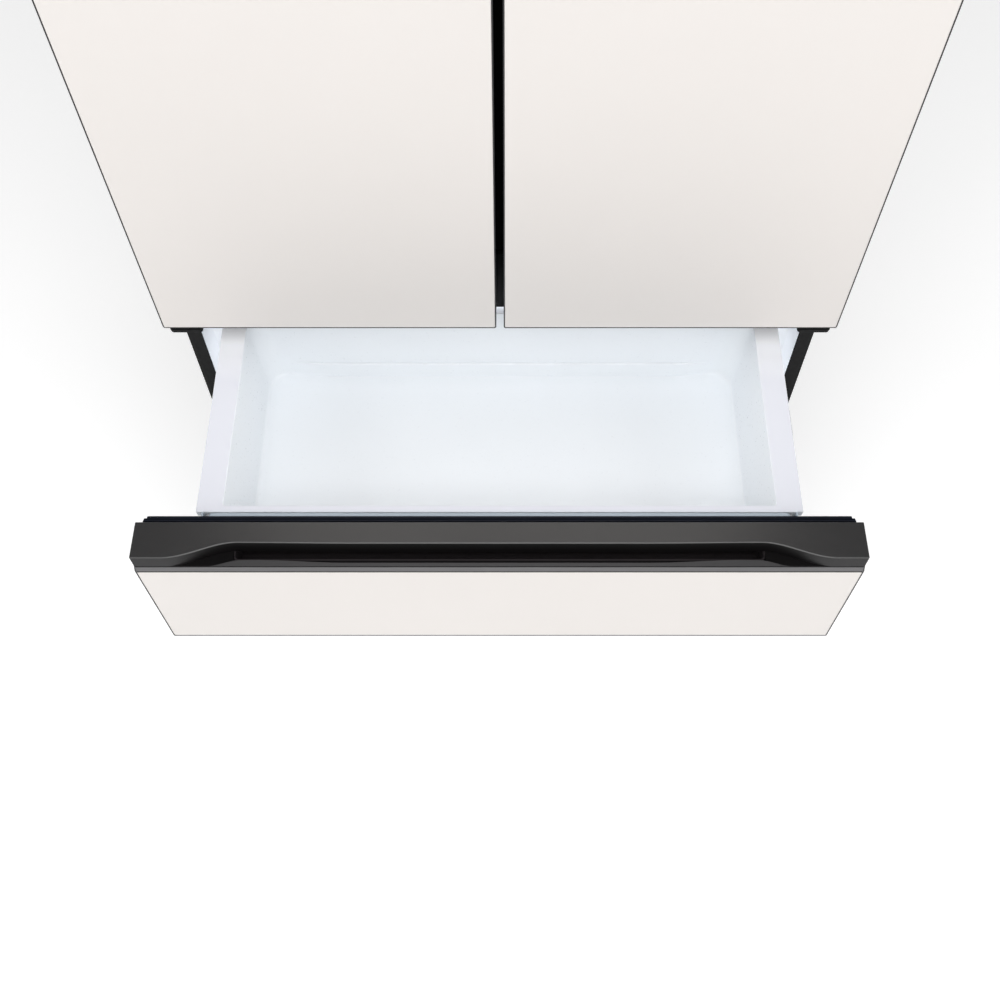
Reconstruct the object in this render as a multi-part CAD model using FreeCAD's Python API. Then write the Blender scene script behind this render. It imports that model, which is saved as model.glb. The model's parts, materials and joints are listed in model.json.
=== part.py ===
"""A four-door refrigerator: two hinged doors over a convertible drawer and a freezer drawer.

Millimetres. +X is the viewer's right, +Y goes into the cabinet, +Z is up and z = 0 is the floor.
The convertible drawer is modelled pulled out by drawer_open, and everything else is closed.
"""
import FreeCAD, Part
import os

V = FreeCAD.Vector

# Overall sizes
cabinet_width = 904.0
front_overhang = 2.0
cabinet_depth = 660.0
cabinet_bottom = 45.0
cabinet_top = 1750.0
door_stack = 63.0
front_depth = 50.0
front_gap = 13.5
door_gap = 10.0
freezer_front_bottom = 75.0
freezer_front_height = 430.0
drawer_front_height = 240.0
drawer_open = 340.0

# Sheet, walls and fits
sheet = 1.0
frame_sheet = 2.0
base_sheet = 2.0
liner_wall = 2.0
running_fit = 0.05
seat_fit = 0.03
seal_gap = 0.5

# Cabinet front
strip_width = 21.0
frame_top = 45.0
seal_overlap = 20.0
divider_rise = 77.0
mullion_width = 60.0
mullion_depth = 45.0
mullion_round = 6.0

# Compartments
liner_lip = 44.0
liner_slope = 26.0
liner_step_in = 23.0
fresh_depth = 560.0
drawer_depth = 430.0
freezer_depth = 380.0
freezer_shelf_rise = 30.0
shelf_ledge = 10.0
shelf_glass = 5.0
shelf_heights = (240.0, 500.0)
shelf_front = 122.0
duct_width = 300.0
duct_depth = 25.0
duct_wall = 3.0
light_width = 300.0
light_depth = 60.0
light_height = 10.0

# Doors and drawer fronts
panel_thickness = 4.0
edge_trim = 1.5
gasket_width = 12.0
gasket_inset = 13.0
gasket_top_inset = 8.0
dyke_inset = 45.0
dyke_depth = 30.0
door_bin_depth = 90.0
door_bin_height = 95.0
door_bin_wall = 3.0
door_bin_rises = (150.0,)
door_bin_drops = (505.0, 215.0)
door_bin_side = 24.0

# Handle cap and its finger pocket
cap_height = 23.2
trim_height = 13.3
trim_depth = 8.0
pocket_wall = 2.0
pocket_end = 50.0
pocket_bend = 78.0
pocket_scoop = 20.0
pocket_reach = 34.0
pocket_depth = 38.0
pocket_lip = 3.0
cup_overlap = 4.0

# Bins
bin_wall = 3.0
bin_rim_drop = 28.5
bin_side_gap = 21.0
bin_side_rim = 34.0
bin_plate_gap = 4.0
bin_front_rim = 9.5
bin_length = 330.0
bin_back_rim = 12.0
bin_draft = 10.0
bin_skirt = 10.0
drawer_bin_depth = 132.0
freezer_bin_depth = 320.0
bin_ramp_depth = 12.0
bin_ramp_height = 25.0
back_plate_depth = 26.0
back_plate_side_gap = 4.0
back_plate_margin = 40.0
back_plate_top = 31.5

# Telescopic rails
rail_drop = 71.5
rail_height = 46.0
rail_sheet = 2.0
rail_play = 0.5
rail_setback = 9.0
rail_end_gap = 3.0
rail_bracket = 12.0
rail_flange = 12.0
rail_nose = 7.0
rail_web = 2.5

# Hinges
pin_radius = 4.0
pin_length = 20.0
pin_inset = 12.0
pin_setback = 25.0
hinge_gap = 3.0
hinge_plate = 5.0
hinge_margin = 10.0
hinge_inner_margin = 20.0
hinge_reach = 70.0
hinge_screw_pitch = 20.0
hinge_screw_count = 3
bracket_top_gap = 4.0
bracket_plate = 6.0
bracket_outer = 5.0
bracket_width = 44.0
bracket_front = 4.0
bracket_leg = 22.0
bracket_leg_sheet = 4.0
cover_height = 28.0
cover_wall = 2.0
cover_margin = 6.0

# Machine compartment
machine_depth = 190.0
machine_height = 230.0
compressor_radius = 76.0
compressor_height = 140.0
compressor_round = 45.0
compressor_fan_gap = 210.0
compressor_foot_x = 75.0
compressor_foot_y = 60.0
foot_plate = 3.0
foot_plate_margin = 14.0
mount_radius = 11.0
mount_height = 14.0
pipe_radius = 4.0
pipe_stub = 22.0
coil_tray_gap = 40.0
coil_width = 180.0
coil_depth = 110.0
coil_rows = 7
coil_pitch = 20.0
coil_tube = 4.0
coil_plate = 2.0
fin_count = 14
fin_sheet = 1.0
tray_inset = 22.0
tray_width = 130.0
tray_depth = 140.0
tray_height = 40.0
tray_wall = 2.0
slot_count = 14
slot_width = 10.0
slot_height = 60.0
slot_rise = 30.0
inlet_inset = 82.0
inlet_rise = 150.0
inlet_width = 34.0
inlet_height = 26.0
inlet_depth = 24.0
inlet_wall = 3.0
inlet_flange = 6.0
inlet_blade = 2.0
inlet_blade_height = 6.0
inlet_blade_pitch = 8.5

# Fans and evaporator
fan_radius = 58.0
fan_hub_radius = 15.0
fan_hub_length = 20.0
fan_blade_count = 5
fan_blade_sheet = 2.0
fan_blade_pitch = 30.0
fan_blade_chord = 30.0
shaft_radius = 3.0
motor_radius = 26.0
motor_length = 30.0
motor_gap = 2.0
motor_foot = 40.0
motor_foot_sheet = 6.0
fan_coil_gap = 100.0
evaporator_width = 460.0
evaporator_depth = 60.0
evaporator_rows = 6
evaporator_pitch = 22.0
evaporator_cover_sheet = 3.0

# Feet, rollers, grille and screws
leg_radius = 5.0
leg_foot_radius = 18.0
leg_foot_height = 10.0
leg_boss_radius = 13.0
leg_boss_height = 16.0
leg_inset = 52.0
leg_setback = 60.0
roller_radius = 20.0
roller_width = 22.0
roller_inset = 52.0
roller_setback = 80.0
axle_radius = 4.0
ear_sheet = 4.0
ear_gap = 0.5
ear_margin = 9.0
grille_inset = 22.0
grille_bottom = 18.0
grille_top_gap = 5.0
grille_sheet = 4.0
grille_slots = 24
grille_slot_width = 16.0
grille_slot_margin = 12.0
screw_head_radius = 5.0
screw_head_height = 2.5

# Places worked out from the sizes above
half_cabinet = cabinet_width / 2
product_width = cabinet_width + 2 * front_overhang
half_product = product_width / 2
front_y = (drawer_open - door_stack - cabinet_depth) / 2
face_y = front_y + door_stack
liner_y = face_y + frame_sheet
back_y = face_y + cabinet_depth
drawer_front_bottom = freezer_front_bottom + freezer_front_height + front_gap
drawer_front_top = drawer_front_bottom + drawer_front_height
freezer_front_top = freezer_front_bottom + freezer_front_height
door_bottom = drawer_front_top + front_gap
door_top = cabinet_top - hinge_gap
base_top = cabinet_bottom + base_sheet
opening_half = half_cabinet - strip_width
liner_half = opening_half - liner_step_in
freezer_floor = freezer_front_bottom + seal_overlap
freezer_ceiling = freezer_front_top - seal_overlap
drawer_floor = drawer_front_bottom + seal_overlap
drawer_ceiling = drawer_front_top - seal_overlap
fresh_floor = door_bottom + divider_rise
fresh_ceiling = cabinet_top - frame_top
gasket_depth = door_stack - front_depth - seal_gap
machine_top = cabinet_bottom + machine_height
machine_y = back_y - machine_depth
machine_mid = (machine_y + back_y) / 2
freezer_shelf = machine_top + freezer_shelf_rise
pin_x = half_product - pin_inset
bin_front = front_depth + back_plate_depth + bin_plate_gap
bin_rim_half = liner_half - bin_side_gap
bin_mouth_half = bin_rim_half - bin_side_rim
rail_start = door_stack + rail_setback
rail_length = freezer_depth + frame_sheet - rail_setback - rail_end_gap
pocket_half = half_product - pocket_end
pocket_straight = pocket_half - pocket_bend
cup_half = pocket_straight + cup_overlap
leg_x = half_cabinet - leg_inset
roller_x = half_cabinet - roller_inset
grille_half = half_cabinet - grille_inset
tray_x = half_cabinet - tray_inset - tray_width
coil_x = tray_x - coil_tray_gap - coil_width
condenser_fan_x = coil_x - fan_coil_gap
compressor_x = condenser_fan_x - compressor_fan_gap
inlet_x = half_cabinet - inlet_inset
pin_y = front_y + pin_setback


def box(x0, y0, z0, x1, y1, z1):
    """A box between two corners."""
    return Part.makeBox(x1 - x0, y1 - y0, z1 - z0, V(x0, y0, z0))


def wide_box(half, y0, z0, y1, z1):
    """A box that is centred on the middle plane."""
    return box(-half, y0, z0, half, y1, z1)


def prism(points, direction):
    """A straight prism of a flat outline."""
    return Part.Face(Part.makePolygon(points + points[:1])).extrude(direction)


def cylinder(radius, length, start, direction):
    return Part.makeCylinder(radius, length, start, direction)


def mirrored(shape):
    """The same piece on the other side of the middle plane."""
    return shape.mirror(V(0, 0, 0), V(1, 0, 0))


def both_sides(shape):
    """A group of the piece and its mirror image."""
    return Part.makeCompound([shape, mirrored(shape)])


def moved(shape, offset):
    copy = shape.copy()
    copy.translate(offset)
    return copy


def fused(shapes):
    return shapes[0].fuse(shapes[1:]).removeSplitter()


def ring(x0, z0, x1, z1, y0, y1, side, bottom, top):
    """A frame open at front and back, with its own width at the sides, bottom and top."""
    outer = box(x0, y0, z0, x1, y1, z1)
    return outer.cut(box(x0 + side, y0, z0 + bottom, x1 - side, y1, z1 - top))


def liner_prism(wall, depth, z0, z1):
    """The plan of a compartment: a straight lip, a slope inwards and a straight wall."""
    near = liner_y
    slope_start = near + liner_lip
    slope_end = slope_start + liner_slope
    far = near + depth + wall
    wide = opening_half + wall
    narrow = liner_half + wall
    right = [(wide, near), (wide, slope_start), (narrow, slope_end), (narrow, far)]
    left = [(-x, y) for x, y in reversed(right)]
    return prism([V(x, y, z0) for x, y in right + left], V(0, 0, z1 - z0))


def liner_solid(wall, depth, z0, z1):
    """The filled outside of a liner with one depth."""
    return liner_prism(wall, depth, z0 - wall, z1 + wall)


def freezer_solid(wall):
    """The filled outside of the freezer liner, which is shallow in front of the machine space."""
    deep = liner_solid(wall, fresh_depth, freezer_floor, freezer_ceiling)
    step_y = liner_y + freezer_depth + wall
    below = wide_box(half_cabinet, step_y, cabinet_bottom, back_y, freezer_shelf - wall)
    return deep.cut(below)


def fresh_food_liner():
    outer = liner_solid(liner_wall, fresh_depth, fresh_floor, fresh_ceiling)
    shell = outer.cut(liner_solid(0, fresh_depth, fresh_floor, fresh_ceiling))
    pieces = [shell]
    for height in shelf_heights:
        top = fresh_floor + height
        ledge = box(liner_half - shelf_ledge, face_y + shelf_front, top - shelf_ledge,
                    liner_half, liner_y + fresh_depth, top)
        pieces += [ledge, mirrored(ledge)]
    return fused(pieces)


def drawer_liner():
    outer = liner_solid(liner_wall, drawer_depth, drawer_floor, drawer_ceiling)
    return outer.cut(liner_solid(0, drawer_depth, drawer_floor, drawer_ceiling))


def freezer_liner():
    return freezer_solid(liner_wall).cut(freezer_solid(0))


def insulation_foam():
    inside = half_cabinet - sheet
    block = wide_box(inside, liner_y, base_top, back_y - sheet, cabinet_top - sheet)
    machine = wide_box(inside, machine_y - base_sheet, base_top, back_y, machine_top + base_sheet)
    cuts = [
        liner_solid(liner_wall, fresh_depth, fresh_floor, fresh_ceiling),
        liner_solid(liner_wall, drawer_depth, drawer_floor, drawer_ceiling),
        freezer_solid(liner_wall),
        machine,
    ]
    return block.cut(cuts)


def cabinet_shell():
    outer = wide_box(half_cabinet, liner_y, cabinet_bottom, back_y, cabinet_top)
    inside = half_cabinet - sheet
    return outer.cut(wide_box(inside, liner_y, cabinet_bottom, back_y, cabinet_top - sheet))


def back_panel():
    inside = half_cabinet - sheet
    return wide_box(inside, back_y - sheet, machine_top + base_sheet, back_y, cabinet_top - sheet)


def front_frame():
    return ring(-half_cabinet, cabinet_bottom, half_cabinet, cabinet_top, face_y, liner_y,
                strip_width, freezer_floor - cabinet_bottom, frame_top)


def divider_bars():
    upper = wide_box(opening_half, face_y, drawer_ceiling, liner_y, fresh_floor)
    lower = wide_box(opening_half, face_y, freezer_ceiling, liner_y, drawer_floor)
    return Part.makeCompound([upper, lower])


def centre_mullion():
    post = wide_box(mullion_width / 2, face_y, fresh_floor, face_y + mullion_depth, fresh_ceiling)
    middle = post.BoundBox.Center.z
    upright = [edge for edge in post.Edges if edge.BoundBox.ZMin < middle < edge.BoundBox.ZMax]
    return post.makeFillet(mullion_round, upright)


def base_pan():
    """The bent steel base: floor, step and roof of the machine space, roller ears and leg bosses."""
    inside = half_cabinet - sheet
    pieces = [
        wide_box(inside, liner_y, cabinet_bottom, back_y - sheet, base_top),
        wide_box(inside, machine_y - base_sheet, base_top, machine_y, machine_top + base_sheet),
        wide_box(inside, machine_y, machine_top, back_y, machine_top + base_sheet),
    ]
    ear_inner = roller_width / 2 + ear_gap
    ear_reach = axle_radius + ear_margin
    roller_y = back_y - roller_setback
    for offset in (-ear_inner - ear_sheet, ear_inner):
        ear = box(roller_x + offset, roller_y - ear_reach, roller_radius - ear_reach,
                  roller_x + offset + ear_sheet, roller_y + ear_reach, cabinet_bottom)
        pieces += [ear, mirrored(ear)]
    boss = cylinder(leg_boss_radius, leg_boss_height,
                    V(leg_x, face_y + leg_setback, cabinet_bottom - leg_boss_height), V(0, 0, 1))
    pieces += [boss, mirrored(boss)]
    pan = fused(pieces)
    span = roller_width + 2 * (ear_gap + ear_sheet)
    axle_start = V(roller_x - span / 2, roller_y, roller_radius)
    axle_hole = cylinder(axle_radius + seat_fit, span, axle_start, V(1, 0, 0))
    leg_hole = cylinder(leg_radius + running_fit, leg_boss_height + base_sheet,
                        V(leg_x, face_y + leg_setback, cabinet_bottom - leg_boss_height), V(0, 0, 1))
    return pan.cut([axle_hole, mirrored(axle_hole), leg_hole, mirrored(leg_hole)])


def roller_axles():
    span = roller_width + 2 * (ear_gap + ear_sheet)
    start = V(roller_x - span / 2, back_y - roller_setback, roller_radius)
    return both_sides(cylinder(axle_radius, span, start, V(1, 0, 0)))


def rear_roller():
    start = V(roller_x - roller_width / 2, back_y - roller_setback, roller_radius)
    wheel = cylinder(roller_radius, roller_width, start, V(1, 0, 0))
    return wheel.cut(cylinder(axle_radius + running_fit, roller_width, start, V(1, 0, 0)))


def levelling_leg():
    place = V(leg_x, face_y + leg_setback, 0)
    foot = cylinder(leg_foot_radius, leg_foot_height, place, V(0, 0, 1))
    return fused([foot, cylinder(leg_radius, base_top - seal_gap, place, V(0, 0, 1))])


def toe_grille():
    top = freezer_front_bottom - grille_top_gap
    plate = wide_box(grille_half, face_y - grille_sheet, grille_bottom, face_y, top)
    pitch = 2 * grille_half / grille_slots
    slots = []
    for index in range(grille_slots):
        middle = -grille_half + (index + 0.5) * pitch
        slots.append(box(middle - grille_slot_width / 2, face_y - grille_sheet,
                         grille_bottom + grille_slot_margin,
                         middle + grille_slot_width / 2, face_y, cabinet_bottom - seal_gap))
    return plate.cut(slots)


def top_hinge():
    plate = box(pin_x - hinge_inner_margin, pin_y - hinge_margin, cabinet_top,
                half_cabinet, face_y + hinge_reach, cabinet_top + hinge_plate)
    pin_end = V(pin_x, pin_y, cabinet_top - hinge_gap - pin_length)
    return fused([plate, cylinder(pin_radius, pin_length + hinge_gap, pin_end, V(0, 0, 1))])


def middle_hinge():
    top = door_bottom - bracket_top_gap
    outer = pin_x + bracket_outer
    plate = box(outer - bracket_width, front_y + bracket_front, top - bracket_plate, outer, face_y, top)
    leg = box(outer - bracket_width, face_y - bracket_leg_sheet, top - bracket_plate,
              outer, face_y, top - bracket_plate + bracket_leg)
    pin = cylinder(pin_radius, pin_length + bracket_top_gap, V(pin_x, pin_y, top), V(0, 0, 1))
    return fused([plate, leg, pin])


def door_hinges():
    top = top_hinge()
    middle = middle_hinge()
    return Part.makeCompound([top, mirrored(top), middle, mirrored(middle)])


def hinge_screw_places():
    """Screws that hold the top hinge plates to the cabinet, on one side."""
    y = face_y + hinge_reach - hinge_margin
    x = (pin_x - hinge_inner_margin + half_cabinet) / 2
    z = cabinet_top + hinge_plate
    return [V(x, y - step * hinge_screw_pitch, z) for step in range(hinge_screw_count)]


def hinge_screws():
    heads = [cylinder(screw_head_radius, screw_head_height, place, V(0, 0, 1))
             for place in hinge_screw_places()]
    return Part.makeCompound(heads + [mirrored(head) for head in heads])


def hinge_covers():
    x0 = pin_x - hinge_inner_margin - cover_margin
    x1 = half_cabinet
    y0 = pin_y - hinge_margin - cover_margin
    y1 = face_y + hinge_reach + cover_margin
    top = cabinet_top + cover_height
    outer = box(x0, y0, cabinet_top, x1, y1, top)
    upper = [edge for edge in outer.Edges if edge.BoundBox.ZMin > outer.BoundBox.Center.z]
    outer = outer.makeFillet(cover_margin, upper)
    inner = box(x0 + cover_wall, y0 + cover_wall, cabinet_top, x1, y1 - cover_wall, top - cover_margin)
    return both_sides(outer.cut(inner))


def glass_shelves():
    back = liner_y + fresh_depth - duct_depth - seal_gap
    shelves = []
    for height in shelf_heights:
        z = fresh_floor + height
        shelves.append(wide_box(liner_half - seal_gap, face_y + shelf_front, z, back, z + shelf_glass))
    return Part.makeCompound(shelves)


def air_duct_cover():
    """A channel on the rear wall, open towards the wall so that cold air rises behind it."""
    back = liner_y + fresh_depth
    front = back - duct_depth
    outer = wide_box(duct_width / 2, front, fresh_floor, back, fresh_ceiling)
    return outer.cut(wide_box(duct_width / 2 - duct_wall, front + duct_wall, fresh_floor + duct_wall,
                              back, fresh_ceiling - duct_wall))


def ceiling_light():
    y = face_y + shelf_front
    return wide_box(light_width / 2, y, fresh_ceiling - light_height, y + light_depth, fresh_ceiling)


def serpentine(length, rows, pitch, radius, start):
    """A tube that runs back and forth along X and climbs by one pitch at each end."""
    edges = []
    for row in range(rows):
        z = start.z + row * pitch
        ends = [V(start.x, start.y, z), V(start.x + length, start.y, z)]
        if row % 2:
            ends.reverse()
        edges.append(Part.LineSegment(ends[0], ends[1]).toShape())
        if row < rows - 1:
            swing = pitch / 2 if row % 2 == 0 else -pitch / 2
            over = V(ends[1].x + swing, start.y, z + pitch / 2)
            edges.append(Part.Arc(ends[1], over, V(ends[1].x, start.y, z + pitch)).toShape())
    section = Part.Wire(Part.makeCircle(radius, start, V(1, 0, 0)))
    return Part.Wire(edges).makePipeShell([section], True, False)


def coil_block(x, width, y, depth, base, rows, pitch):
    """A finned coil that stands on its two end plates."""
    height = rows * pitch
    bend = pitch / 2 + coil_tube
    inner = width - 2 * bend
    tube = serpentine(inner, rows, pitch, coil_tube, V(x + bend, y + depth / 2, base + pitch / 2))
    pieces = [tube]
    for place in (x + bend, x + width - bend - coil_plate):
        pieces.append(box(place, y, base, place + coil_plate, y + depth, base + height))
    gap = (inner - 2 * coil_plate) / (fin_count + 1)
    for index in range(fin_count):
        place = x + bend + coil_plate + (index + 1) * gap
        pieces.append(box(place, y, base + coil_tube,
                          place + fin_sheet, y + depth, base + height - coil_tube))
    return fused(pieces)


def condenser_coil():
    return coil_block(coil_x, coil_width, machine_mid - coil_depth / 2, coil_depth,
                      base_top, coil_rows, coil_pitch)


def evaporator():
    back = liner_y + fresh_depth
    return coil_block(-evaporator_width / 2, evaporator_width, back - evaporator_depth, evaporator_depth,
                      freezer_shelf, evaporator_rows, evaporator_pitch)


def evaporator_cover():
    y = liner_y + freezer_depth
    return wide_box(liner_half, y, freezer_shelf, y + evaporator_cover_sheet, freezer_ceiling)


def fan_blade():
    """A fan on the X axis with its hub starting at the origin."""
    axis = V(1, 0, 0)
    pieces = [cylinder(fan_hub_radius, fan_hub_length, V(0, 0, 0), axis)]
    for index in range(fan_blade_count):
        blade = box(-fan_blade_sheet / 2, -fan_blade_chord / 2, fan_hub_radius - fan_blade_sheet,
                    fan_blade_sheet / 2, fan_blade_chord / 2, fan_radius)
        blade.rotate(V(0, 0, 0), V(0, 0, 1), fan_blade_pitch)
        blade.translate(V(fan_hub_length / 2, 0, 0))
        blade.rotate(V(0, 0, 0), axis, index * 360.0 / fan_blade_count)
        pieces.append(blade)
    return fused(pieces).cut(cylinder(shaft_radius + running_fit, fan_hub_length, V(0, 0, 0), axis))


def fan_motor():
    """A motor on the X axis, its shaft reaching through the hub that starts at the origin."""
    axis = V(1, 0, 0)
    body = cylinder(motor_radius, motor_length, V(-motor_gap - motor_length, 0, 0), axis)
    return fused([body, cylinder(shaft_radius, motor_gap + fan_hub_length, V(-motor_gap, 0, 0), axis)])


def condenser_fan_place():
    return V(condenser_fan_x, machine_mid, base_top + coil_rows * coil_pitch / 2)


def evaporator_fan_place():
    y = liner_y + freezer_depth + evaporator_cover_sheet + motor_length + motor_gap
    return V(0, y, (freezer_shelf + freezer_ceiling) / 2)


def placed_condenser(shape):
    return moved(shape, condenser_fan_place())


def placed_evaporator(shape):
    turned = shape.copy()
    turned.rotate(V(0, 0, 0), V(0, 0, 1), 90)
    return moved(turned, evaporator_fan_place())


def fan_motors():
    place = condenser_fan_place()
    rear = place.x - motor_gap - motor_length
    foot = box(rear, place.y - motor_foot / 2, base_top,
               rear + motor_foot_sheet, place.y + motor_foot / 2, place.z)
    lower = fused([placed_condenser(fan_motor()), foot])
    return Part.makeCompound([lower, placed_evaporator(fan_motor())])


def compressor_feet():
    corners = [(-1, -1), (-1, 1), (1, -1), (1, 1)]
    return [V(compressor_x + i * compressor_foot_x, machine_mid + j * compressor_foot_y, base_top)
            for i, j in corners]


def compressor_mounts():
    mounts = [cylinder(mount_radius, mount_height, place, V(0, 0, 1)) for place in compressor_feet()]
    return Part.makeCompound(mounts)


def compressor():
    base = base_top + mount_height
    reach_x = compressor_foot_x + foot_plate_margin
    reach_y = compressor_foot_y + foot_plate_margin
    plate = box(compressor_x - reach_x, machine_mid - reach_y, base,
                compressor_x + reach_x, machine_mid + reach_y, base + foot_plate)
    can_base = V(compressor_x, machine_mid, base + foot_plate)
    can = cylinder(compressor_radius, compressor_height, can_base, V(0, 0, 1))
    upper = [edge for edge in can.Edges if edge.Closed and edge.BoundBox.ZMin > base + compressor_height / 2]
    can = can.makeFillet(compressor_round, upper)
    side = V(compressor_x + compressor_radius - pipe_radius, machine_mid, base + compressor_height / 2)
    stub = cylinder(pipe_radius, pipe_stub, side, V(1, 0, 0))
    return fused([plate, can, stub])


def drain_pan():
    y0 = machine_mid - tray_depth / 2
    y1 = machine_mid + tray_depth / 2
    outer = box(tray_x, y0, base_top, tray_x + tray_width, y1, base_top + tray_height)
    return outer.cut(box(tray_x + tray_wall, y0 + tray_wall, base_top + tray_wall,
                         tray_x + tray_width - tray_wall, y1 - tray_wall, base_top + tray_height))


def inlet_window(grow):
    """The inlet's place in the machine cover: left, bottom, right and top, grown on every side."""
    z = base_top + inlet_rise
    half = inlet_width / 2 + grow
    return inlet_x - half, z - grow, inlet_x + half, z + inlet_height + grow


def machine_cover():
    plate = wide_box(half_cabinet - sheet, back_y - sheet, base_top, back_y, machine_top)
    pitch = cabinet_width / (slot_count + 1)
    slots = []
    for index in range(slot_count):
        x = -half_cabinet + (index + 1) * pitch
        slots.append(box(x - slot_width / 2, back_y - sheet, base_top + slot_rise,
                         x + slot_width / 2, back_y, base_top + slot_rise + slot_height))
    x0, z0, x1, z1 = inlet_window(0)
    return plate.cut(slots + [box(x0, back_y - sheet, z0, x1, back_y, z1)])


def power_inlet():
    """A mains inlet set into the machine cover, with its three contact blades."""
    x0, z0, x1, z1 = inlet_window(0)
    body = box(x0, back_y - inlet_depth, z0, x1, back_y, z1)
    body = body.cut(box(x0 + inlet_wall, back_y - inlet_depth + inlet_wall, z0 + inlet_wall,
                        x1 - inlet_wall, back_y, z1 - inlet_wall))
    fx0, fz0, fx1, fz1 = inlet_window(inlet_flange)
    flange = ring(fx0, fz0, fx1, fz1, back_y - sheet - inlet_wall, back_y - sheet,
                  inlet_flange, inlet_flange, inlet_flange)
    pieces = [body, flange]
    middle_z = (z0 + z1) / 2
    for step in (-1, 0, 1):
        x = inlet_x + step * inlet_blade_pitch
        pieces.append(box(x - inlet_blade / 2, back_y - inlet_depth, middle_z - inlet_blade_height / 2,
                          x + inlet_blade / 2, back_y - inlet_wall, middle_z + inlet_blade_height / 2))
    return fused(pieces)


def gasket(x0, z0, x1, z1, top_inset):
    """A seal round the back of a front, just clear of the cabinet's face."""
    y0 = front_y + front_depth
    return ring(x0 + gasket_inset, z0 + gasket_inset, x1 - gasket_inset, z1 - top_inset,
                y0, y0 + gasket_depth, gasket_width, gasket_width, gasket_width)


def door_pieces():
    """The right-hand door, closed: panel, edge frame, foamed inner liner, seal and bins."""
    x0 = door_gap / 2
    x1 = half_product
    rear = front_y + front_depth
    inner_x0 = x0 + edge_trim
    inner_x1 = x1 - edge_trim
    inner_z0 = door_bottom + edge_trim
    inner_z1 = door_top - edge_trim
    panel = box(inner_x0, front_y, inner_z0, inner_x1, front_y + panel_thickness, inner_z1)
    frame = ring(x0, door_bottom, x1, door_top, front_y, rear, edge_trim, edge_trim, edge_trim)
    core = box(inner_x0, front_y + panel_thickness, inner_z0, inner_x1, rear, inner_z1)
    dyke = box(x0 + dyke_inset, rear, door_bottom + dyke_inset + divider_rise,
               x1 - dyke_inset, rear + dyke_depth, door_top - dyke_inset - frame_top)
    holes = [
        cylinder(pin_radius + running_fit, pin_length, V(pin_x, pin_y, door_bottom), V(0, 0, 1)),
        cylinder(pin_radius + running_fit, pin_length, V(pin_x, pin_y, door_top - pin_length), V(0, 0, 1)),
    ]
    return {
        "panel": panel,
        "frame": frame.cut(holes),
        "liner": fused([core, dyke]).cut(holes),
        "gasket": gasket(x0, door_bottom, x1, door_top, gasket_inset),
        "bins": door_bins(x0, x1, rear + dyke_depth),
    }


def door_bins(x0, x1, rear):
    """Open-topped bins on the raised inner face of a door."""
    bx0 = x0 + dyke_inset + door_bin_side
    bx1 = x1 - dyke_inset - door_bin_side
    wall = door_bin_wall
    bins = []
    levels = [door_bottom + rise for rise in door_bin_rises] + [door_top - drop for drop in door_bin_drops]
    for z in levels:
        outer = box(bx0, rear, z, bx1, rear + door_bin_depth, z + door_bin_height)
        bins.append(outer.cut(box(bx0 + wall, rear + wall, z + wall, bx1 - wall,
                                  rear + door_bin_depth - wall, z + door_bin_height)))
    return Part.makeCompound(bins)


def scoop_outline(z):
    """The finger scoop in plan: the cap's front edge curves back from each end to a straight middle."""
    y0 = front_y
    y1 = front_y + pocket_scoop
    bend = (pocket_half - pocket_straight) / 2
    middle_x = pocket_straight + bend
    left_in = Part.BezierCurve()
    left_in.setPoles([V(-pocket_half, y0, z), V(-middle_x, y0, z),
                      V(-middle_x, y1, z), V(-pocket_straight, y1, z)])
    right_out = Part.BezierCurve()
    right_out.setPoles([V(pocket_straight, y1, z), V(middle_x, y1, z),
                        V(middle_x, y0, z), V(pocket_half, y0, z)])
    edges = [
        left_in.toShape(),
        Part.LineSegment(V(-pocket_straight, y1, z), V(pocket_straight, y1, z)).toShape(),
        right_out.toShape(),
        Part.LineSegment(V(pocket_half, y0, z), V(-pocket_half, y0, z)).toShape(),
    ]
    return Part.Face(Part.Wire(edges))


def handle_cap(top):
    """The dark cap along the top of a drawer front, with a cup behind its lip for the fingers."""
    base = top - cap_height
    rear = front_y + front_depth
    cap = wide_box(half_product, front_y, base, rear, top)
    cap = cap.cut(scoop_outline(base).extrude(V(0, 0, cap_height)))
    cup = pocket_cup(base)
    inside = wide_box(cup_half - pocket_wall, front_y + trim_depth + pocket_wall,
                      base - pocket_depth + pocket_wall, front_y + pocket_reach, base)
    lip = wide_box(cup_half - pocket_wall, front_y + trim_depth, base, front_y + trim_depth + pocket_wall,
                   base + pocket_lip)
    return fused([cap, cup.cut(inside), lip])


def pocket_cup(base):
    """The filled outside of the finger cup."""
    rear = front_y + pocket_reach + pocket_wall
    return wide_box(cup_half, front_y + trim_depth, base - pocket_depth, rear, base)


def tapered(half_top, y0, y1, top, depth, draft):
    """A tub shape that narrows downwards by the draft on every side."""
    def outline(half, near, far, z):
        corners = [V(-half, near, z), V(half, near, z), V(half, far, z), V(-half, far, z)]
        return Part.makePolygon(corners + corners[:1])
    lower = outline(half_top - draft, y0 + draft, y1 - draft, top - depth)
    return Part.makeLoft([lower, outline(half_top, y0, y1, top)], True, True)


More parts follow.
